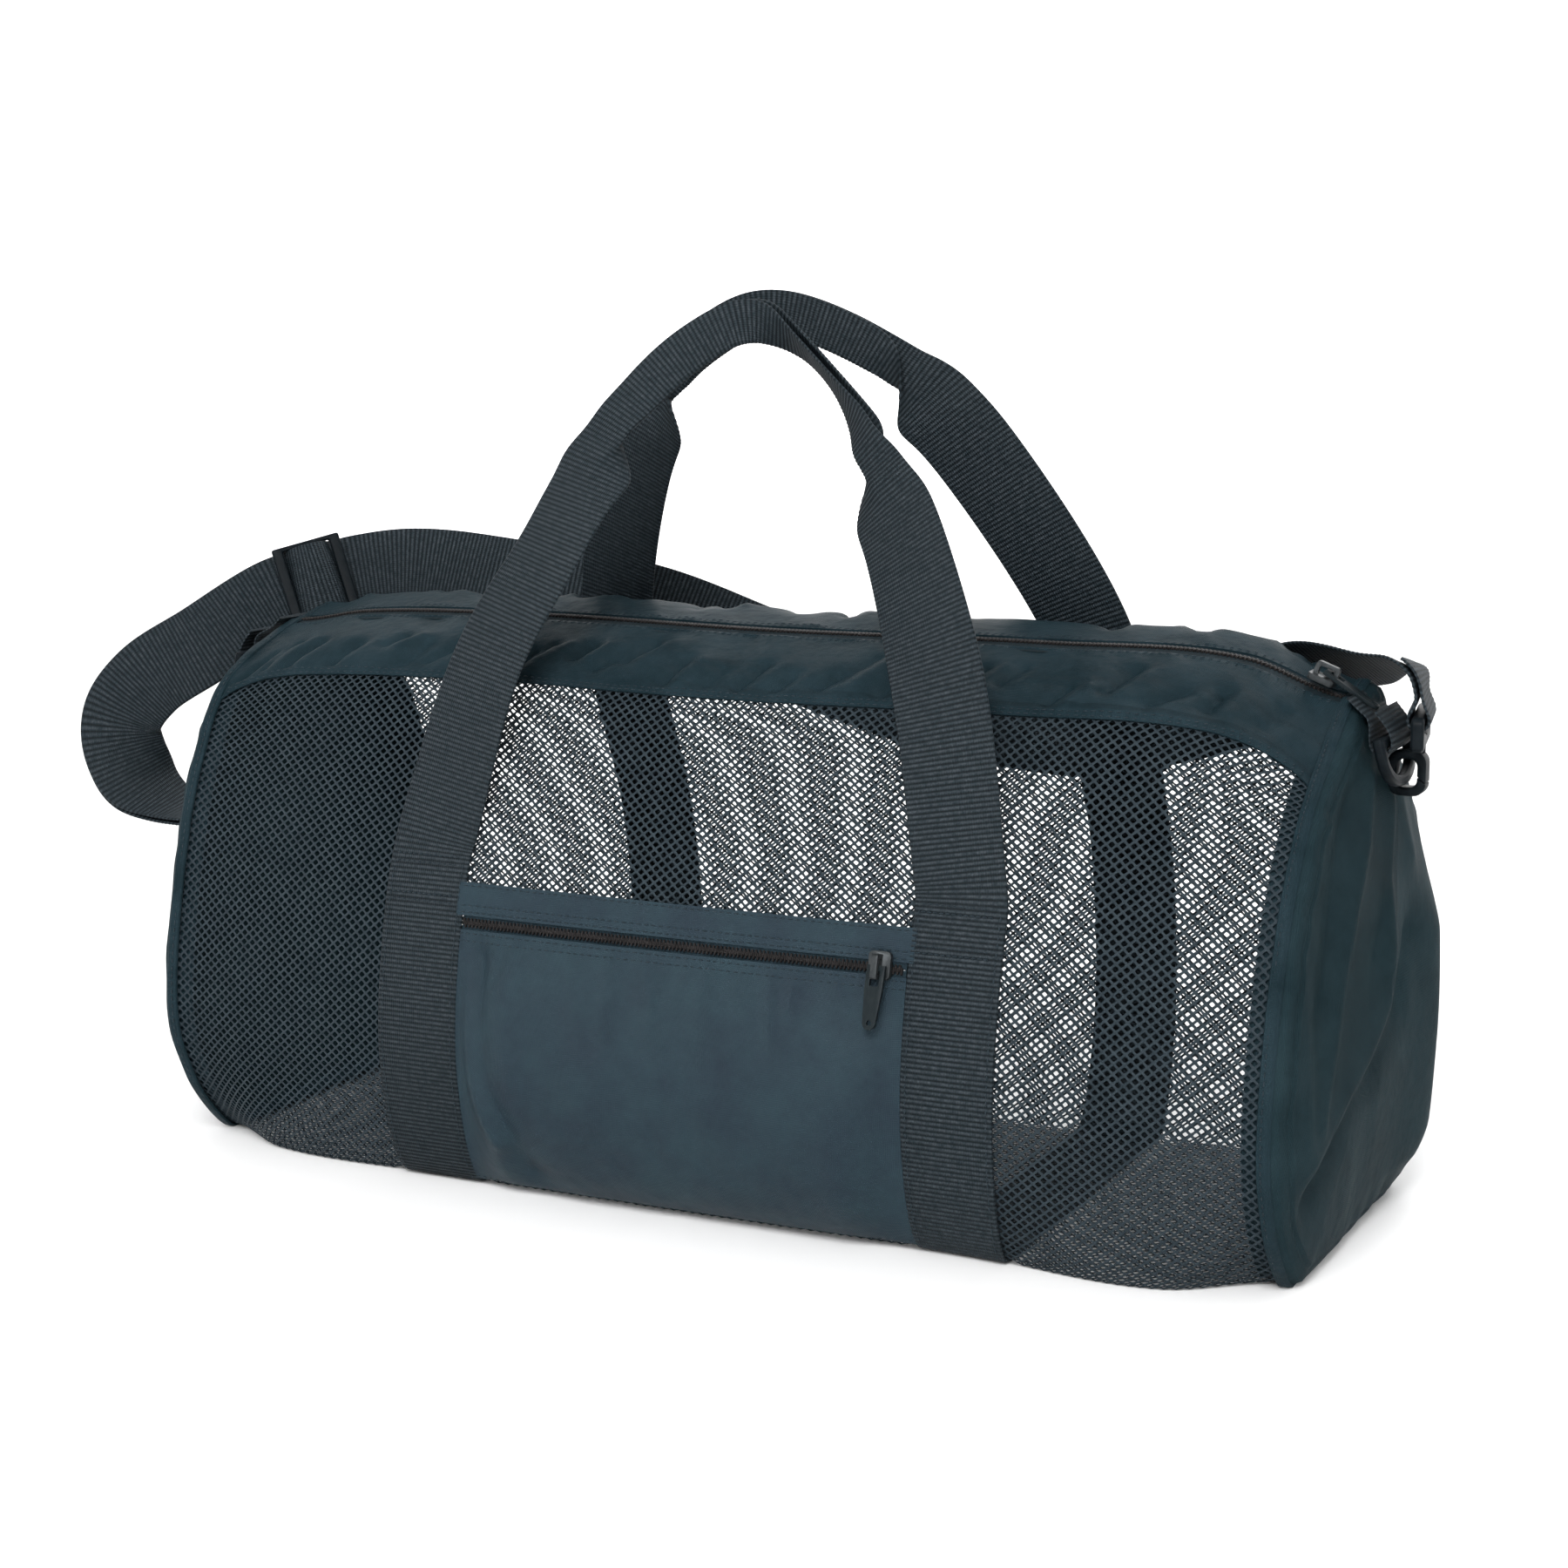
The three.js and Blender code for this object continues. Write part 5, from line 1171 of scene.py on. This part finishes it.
def round_edges(piece, width, rounds, smooth):
    """Rounds the active object's sharp edges and shades it smooth up to an angle in degrees."""
    rounding = piece.modifiers.new("rounding", "BEVEL")
    rounding.width = width * MM
    rounding.segments = rounds
    rounding.angle_limit = BEVEL_ANGLE
    bpy.ops.object.modifier_apply(modifier="rounding")
    bpy.ops.object.shade_smooth_by_angle(angle=math.radians(smooth))


bpy.ops.object.select_all(action="DESELECT")
bpy.ops.mesh.primitive_plane_add(size=1)
slide = bpy.context.object
slide.name = "strap_slide"
bpy.ops.object.mode_set(mode="EDIT")
bpy.ops.transform.resize(value=(2 * SLIDE_HALF * MM, 2 * SLIDE_WIDE * MM, 1))
for axis, place in ((0, SLOT_FROM), (0, SLOT_TO), (1, SLOT_WIDE)):
    for sign in (-1, 1):
        normal = (1, 0, 0) if axis == 0 else (0, 1, 0)
        bpy.ops.mesh.select_all(action="SELECT")
        bpy.ops.mesh.bisect(plane_co=Vector(normal) * (sign * place * MM), plane_no=normal)
bpy.ops.mesh.select_mode(type="FACE")
bpy.ops.mesh.select_all(action="DESELECT")
bpy.ops.object.mode_set(mode="OBJECT")
for polygon in slide.data.polygons:
    x, y, _ = polygon.center / MM
    polygon.select = SLOT_FROM < abs(x) < SLOT_TO and abs(y) < SLOT_WIDE
bpy.ops.object.mode_set(mode="EDIT")
bpy.ops.mesh.delete(type="FACE")
bpy.ops.mesh.select_all(action="SELECT")
bpy.ops.mesh.extrude_region_move(TRANSFORM_OT_translate={"value": (0, 0, SLIDE_TALL * MM)})
bpy.ops.mesh.select_all(action="SELECT")
bpy.ops.mesh.normals_make_consistent(inside=False)
bpy.ops.object.mode_set(mode="OBJECT")
round_edges(slide, SLIDE_ROUNDING, SLIDE_ROUNDS, SLIDE_SMOOTH)
slide_at = ADJUSTER_ROW * STRAP_PER_ROW
seat = strap_line[slide_at] + strap_out[slide_at] * SLIDE_LOW
turn = np.stack([strap_along[slide_at], strap_across[slide_at], strap_out[slide_at]], -1)
slide.data.transform(Matrix.Translation(Vector(seat * MM)) @ Matrix(turn.tolist()).to_4x4())
slide.data.materials.append(PLASTIC)
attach(slide, "bag")
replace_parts(slide, "strap_adjuster")
print("slide", len(slide.data.polygons), "faces")

# %% [markdown]
# ## Rings, hooks and zip sliders
# These pieces have their real shapes in the frame already, but with sharp machined edges, and moulded plastic
# and cast metal never have those. Each is copied, the copy's loose triangles are merged and its flat faces
# joined, and then a small bevel rounds the edges so that they catch the light. The two pulls move with their
# own bodies.

# %% Rounded hardware
# piece: node, body, slot, finish, rounding in mm
HARDWARE = {
    "d_ring_left": ("ring_left", "bag", "plastic", PLASTIC, 0.7),
    "d_ring_right": ("ring_right", "bag", "plastic", PLASTIC, 0.7),
    "hook_left": ("snap_hook_left", "bag", "plastic", PLASTIC, 0.6),
    "hook_right": ("snap_hook_right", "bag", "plastic", PLASTIC, 0.6),
    "swivel_base_left": ("hook_base_left", "bag", "plastic", PLASTIC, 0.8),
    "swivel_base_right": ("hook_base_right", "bag", "plastic", PLASTIC, 0.8),
    "slider_top": ("top_zip_slider", "bag", "zip_metal", ZIP_METAL, 0.4),
    "slider_pocket": ("pocket_zip_slider", "bag", "zip_metal", ZIP_METAL, 0.4),
    "pull_top": ("top_zip_pull", "top_pull", "zip_metal", PULL_METAL, 0.35),
    "pull_pocket": ("pocket_zip_pull", "pocket_pull", "zip_metal", PULL_METAL, 0.35),
}
HARD_ROUNDS, HARD_SMOOTH = 2, 45
MERGE_WITHIN, FLAT_WITHIN = 0.01, math.radians(2)  # mm between corners, angle between faces


def rounded_copy(name, node, body, slot, material, edge):
    """A copy of a solid with merged corners and rounded edges, in the solid's place."""
    piece = bpy.data.objects.new(name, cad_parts[node].data.copy())
    bpy.context.scene.collection.objects.link(piece)
    piece.data.materials.clear()
    piece.data.materials.append(material)
    bpy.ops.object.select_all(action="DESELECT")
    piece.select_set(True)
    bpy.context.view_layer.objects.active = piece
    bpy.ops.object.mode_set(mode="EDIT")
    bpy.ops.mesh.select_all(action="SELECT")
    bpy.ops.mesh.remove_doubles(threshold=MERGE_WITHIN * MM)
    bpy.ops.mesh.dissolve_limited(angle_limit=FLAT_WITHIN)
    bpy.ops.object.mode_set(mode="OBJECT")
    round_edges(piece, edge, HARD_ROUNDS, HARD_SMOOTH)
    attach(piece, body)
    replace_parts(piece, node)
    print(name, len(piece.data.polygons), "faces")


for name, row in HARDWARE.items():
    rounded_copy(name, *row)

# %% [markdown]
# ## Ring tabs
# A short tab of webbing holds each ring: it is sewn into the end seam at the top, runs down to the ring's
# bar, round it and back up, where both layers are stitched together. It is a strip along a smooth line in
# the upright plane through the ring.

# %% Tabs
RING_X, RING_Z = {"left": 266, "right": 260.6}, {"left": 206.8, "right": 201.8}
SEAM_CREST = {"left": 227, "right": 220}
TAB_HALF, TAB_THICK, TAB_TURN = 16.5, 1.4, 4.3
TAB_PLACES = 160
for label, side in SIDES.items():
    seam_reach, ring_z, crest = SEAM_X - RING_X[label], RING_Z[label], SEAM_CREST[label]
    turns = np.linspace(0, np.pi, BAR_STEPS)
    bar_turn = [(-TAB_TURN * math.cos(a), ring_z - TAB_TURN * math.sin(a)) for a in turns]
    path = [
        (seam_reach + 1, crest - 1.5), (seam_reach + 6, crest - 6), (-TAB_TURN - 1, ring_z + 9), *bar_turn,
        (TAB_TURN - 1.4, ring_z + 5), (-TAB_TURN + 1.8, ring_z + 12),
    ]
    line = smooth_line([(side * (RING_X[label] + reach), 0, z) for reach, z in path], TAB_PLACES)
    tab_rows = line[:, None] + FLAT_COLUMNS[:, None] * (0, TAB_HALF / WEB_HALF, 0)
    tab = ribbed_strip(f"ring_tab_webbing_{label}", tab_rows, FLAT_COLUMNS, TAB_THICK)
    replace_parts(tab, f"ring_tab_{label}")

# %% [markdown]
# ## Stitching
# The bag is held together by rows of lockstitch: beside the zips, along the bands' and the pocket's edges,
# down both edges of every sewn leg and round the end seams. One stitch is a small drop of thread, flat
# underneath. It is modelled once and set down along each row, and the rows of one kind of cloth are one
# piece.

# %% One stitch
STITCH_LONG, STITCH_WIDE, STITCH_TALL, STITCH_STEP = 2.4, 0.62, 0.5, 3.3
bpy.ops.object.select_all(action="DESELECT")
bpy.ops.mesh.primitive_ico_sphere_add(subdivisions=1, radius=0.5)
stitch = bpy.context.object
bpy.ops.object.mode_set(mode="EDIT")
bpy.ops.transform.resize(value=(STITCH_LONG * MM, STITCH_WIDE * MM, STITCH_TALL * MM))
bpy.ops.mesh.select_all(action="DESELECT")
bpy.ops.object.mode_set(mode="OBJECT")
for vertex in stitch.data.vertices:
    vertex.select = vertex.co.z < -0.05 * MM
bpy.ops.object.mode_set(mode="EDIT")
bpy.ops.transform.resize(value=(1, 1, 0.3), center_override=(0, 0, 0))
bpy.ops.object.mode_set(mode="OBJECT")
stitch_points, stitch_faces = take_model(stitch)
print("stitch", len(stitch_faces), "faces")

# %% Rows of stitches
STITCH_FLOOR = 2.5  # mm: lower stitches lie under the bag and are left out
STITCH_LIFT = 0.35  # mm from the middle of a cloth to its stitches


def stitches(name, rows, slot):
    """One piece from rows of places; a row holds lengths x, keys u, heights and whether it runs along x."""
    places = [frames_on_body(*np.broadcast_arrays(x, u, offset), along) for x, u, offset, along in rows]
    origins = np.concatenate([place[0] for place in places])
    frames = np.concatenate([place[1] for place in places])
    above = origins[:, 2] > STITCH_FLOOR
    origins, frames = origins[above], frames[above]
    piece = new_piece(name, *repeat(stitch_points, stitch_faces, origins, frames), THREAD, slot)
    print(name, len(origins), "stitches")


def band_row(label, seam_mm):
    """A row along a band, a number of mm from its lower seam; below 0 it is counted from the zip."""
    low_key, high_key, wide, seed = BAND_ROWS[label]
    seam = (seam_mm if seam_mm > 0 else wide + seam_mm) / wide
    x = np.arange(6 - SEAM_X, SEAM_X - 6, STITCH_STEP)
    share = seam if label == "front" else 1 - seam
    keys = low_key(x) + (high_key(x) - low_key(x)) * share
    return x, keys, band_height(x, keys, seam + 0 * x, wide, seed) + STITCH_LIFT, True


def upright_row(x, u_low, u_high, offset):
    """A row up the bag at one length."""
    keys = key_at(np.arange(length_at(u_low), length_at(u_high), STITCH_STEP))
    return x + 0 * keys, keys, offset, False


def level_row(x_low, x_high, u, offset, step=STITCH_STEP):
    """A row along the bag at one key; offset is a function of x and key."""
    x = np.arange(x_low, x_high, step)
    return x, u + 0 * x, offset(x, u + 0 * x), True


# %% All the stitching
BAND_STITCHES = (1.8, 5.0, -1.6, -4.6)  # mm from a band's lower seam, or from the zip below 0
WEB_TOP = WEB_SEAT + 0.05
LEG_EDGE, CROSS_HALF, CROSS_STEP = 16.6, 15, 2.5
LEG_STITCHED = ((14.3, 17.28), (10.72, 13.7))  # keys up the front and up the back
CROSS_KEYS = (17.3, 17.24, 17.0, 16.96, 10.7, 10.76)
HEADER_STITCHES = (HEADER_TOP - 0.025, header_low + 0.02, header_low + 0.06)
PANEL_STITCHES = (panel_top - 0.02, panel_top - 0.06, POCKET_FOOT + 0.03)
SEAM_STITCHED = ((14.6, 22.9), (9.1, 13.4))  # keys, with the underside left free
SEAM_INSIDE, EDGE_LIFT = 1.5, 1.45

stitches("stitches_bands", [band_row(label, mm) for label in BAND_ROWS for mm in BAND_STITCHES], "nylon")
leg_rows = []
for leg in LEG_X.values():
    for edge in (-LEG_EDGE, LEG_EDGE):
        leg_rows += [upright_row(leg + edge, low, high, WEB_TOP) for low, high in LEG_STITCHED]
    for key in CROSS_KEYS:
        leg_rows.append(level_row(leg - CROSS_HALF, leg + CROSS_HALF, key, lambda x, u: WEB_TOP, CROSS_STEP))
stitches("stitches_legs", leg_rows, "webbing")
pocket_rows = [
    level_row(POCKET_LEFT, POCKET_RIGHT, key, lambda x, u: POCKET_SEAT + STITCH_LIFT + rise(x, u))
    for rise, keys in ((header_rise, HEADER_STITCHES), (pocket_rise, PANEL_STITCHES)) for key in keys
]
stitches("stitches_pocket", pocket_rows, "pocket_nylon")
seam_rows = [
    upright_row(side * (SEAM_X - SEAM_INSIDE), low, high, EDGE_LIFT)
    for low, high in SEAM_STITCHED for side in SIDES.values()
]
stitches("stitches_seams", seam_rows, "nylon")

# %% [markdown]
# ## Studio
# The bag stands on a plain pale sweep that turns up all round it, far enough out for the camera to walk round
# the bag. One large soft light stands above the camera, as in a catalogue photograph, a weak one fills from
# the left and one behind edges the handles. Two more light the wall behind the bag, and a pale sky evens out
# the rest.

# %% Sweep
SWEEP_FLAT, SWEEP_BEND, SWEEP_TALL = 3.0, 1.1, 2.8  # metres: flat floor, radius of the bend, height
SWEEP_SIDES, SWEEP_RIM = 96, 0.3
SWEEP_STEP, SWEEP_SMOOTH = 15, 40  # degrees
PAPER = 0.95
bpy.ops.object.select_all(action="DESELECT")
bpy.ops.mesh.primitive_circle_add(vertices=SWEEP_SIDES, radius=SWEEP_FLAT, fill_type="NGON")
sweep = bpy.context.object
sweep.name = "sweep"
bpy.ops.object.mode_set(mode="EDIT")
bpy.ops.mesh.select_all(action="SELECT")
bpy.ops.mesh.inset(thickness=SWEEP_RIM, depth=0)
bpy.ops.mesh.select_all(action="SELECT")
bpy.ops.mesh.region_to_loop()
reach = SWEEP_FLAT
for turn in np.radians(np.arange(SWEEP_STEP, 91, SWEEP_STEP)):
    grown = SWEEP_FLAT + SWEEP_BEND * math.sin(turn)
    rise = SWEEP_BEND * (math.cos(turn - math.radians(SWEEP_STEP)) - math.cos(turn))
    bpy.ops.mesh.extrude_edges_move()
    bpy.ops.transform.resize(value=(grown / reach, grown / reach, 1), center_override=(0, 0, 0))
    bpy.ops.transform.translate(value=(0, 0, rise))
    reach = grown
bpy.ops.mesh.extrude_edges_move(TRANSFORM_OT_translate={"value": (0, 0, SWEEP_TALL - SWEEP_BEND)})
bpy.ops.mesh.select_all(action="SELECT")
bpy.ops.mesh.normals_make_consistent(inside=True)
bpy.ops.object.mode_set(mode="OBJECT")
bpy.ops.object.shade_smooth_by_angle(angle=math.radians(SWEEP_SMOOTH))
paper, _, paper_shader = finish("pale_paper", 0.9)
paper_shader.inputs["Base Color"].default_value = (PAPER, PAPER, PAPER, 1)
sweep.data.materials.append(paper)
print("sweep", len(sweep.data.polygons), "faces")

# %% Lights and sky
# light: place in metres, size in metres, power in watts
LIGHTS = {
    "key": ((0.6, -2.3, 2.0), 1.3, 84),
    "fill": ((-2.3, -1.4, 1.3), 1.6, 8),
    "rim": ((0.4, 1.8, 2.0), 1.2, 20),
}
WALL_LIGHT_X, WALL_LIGHT_YZ, WALL_LIGHT_SIZE, WALL_LIGHT_POWER = 1.6, (1.9, 1.2), 1.4, 45
WALL_LIGHT_AIM = Vector((0, 1, 0.05))
SKY_STRENGTH = 0.62


def soft_light(name, place, size, power):
    """A square area light that looks at the middle of the bag."""
    light = bpy.data.objects.new(name, bpy.data.lights.new(name, "AREA"))
    light.data.size = size
    light.data.energy = power
    light.location = place
    light.rotation_mode = "QUATERNION"
    light.rotation_quaternion = (CAMERA_TARGET - Vector(place)).to_track_quat("-Z", "Y")
    bpy.context.scene.collection.objects.link(light)
    return light


for name, row in LIGHTS.items():
    soft_light(name, *row)
for side in SIDES.values():
    place = (WALL_LIGHT_X * side, *WALL_LIGHT_YZ)
    wall_light = soft_light(f"wall_{side}", place, WALL_LIGHT_SIZE, WALL_LIGHT_POWER)
    wall_light.rotation_quaternion = WALL_LIGHT_AIM.to_track_quat("-Z", "Y")
bpy.context.scene.view_settings.view_transform = "Standard"
sky = bpy.data.worlds.new("sky")
sky.use_nodes = True
sky.node_tree.nodes["Background"].inputs["Color"].default_value = (1, 1, 1, 1)
sky.node_tree.nodes["Background"].inputs["Strength"].default_value = SKY_STRENGTH
bpy.context.scene.world = sky
print("studio ready")
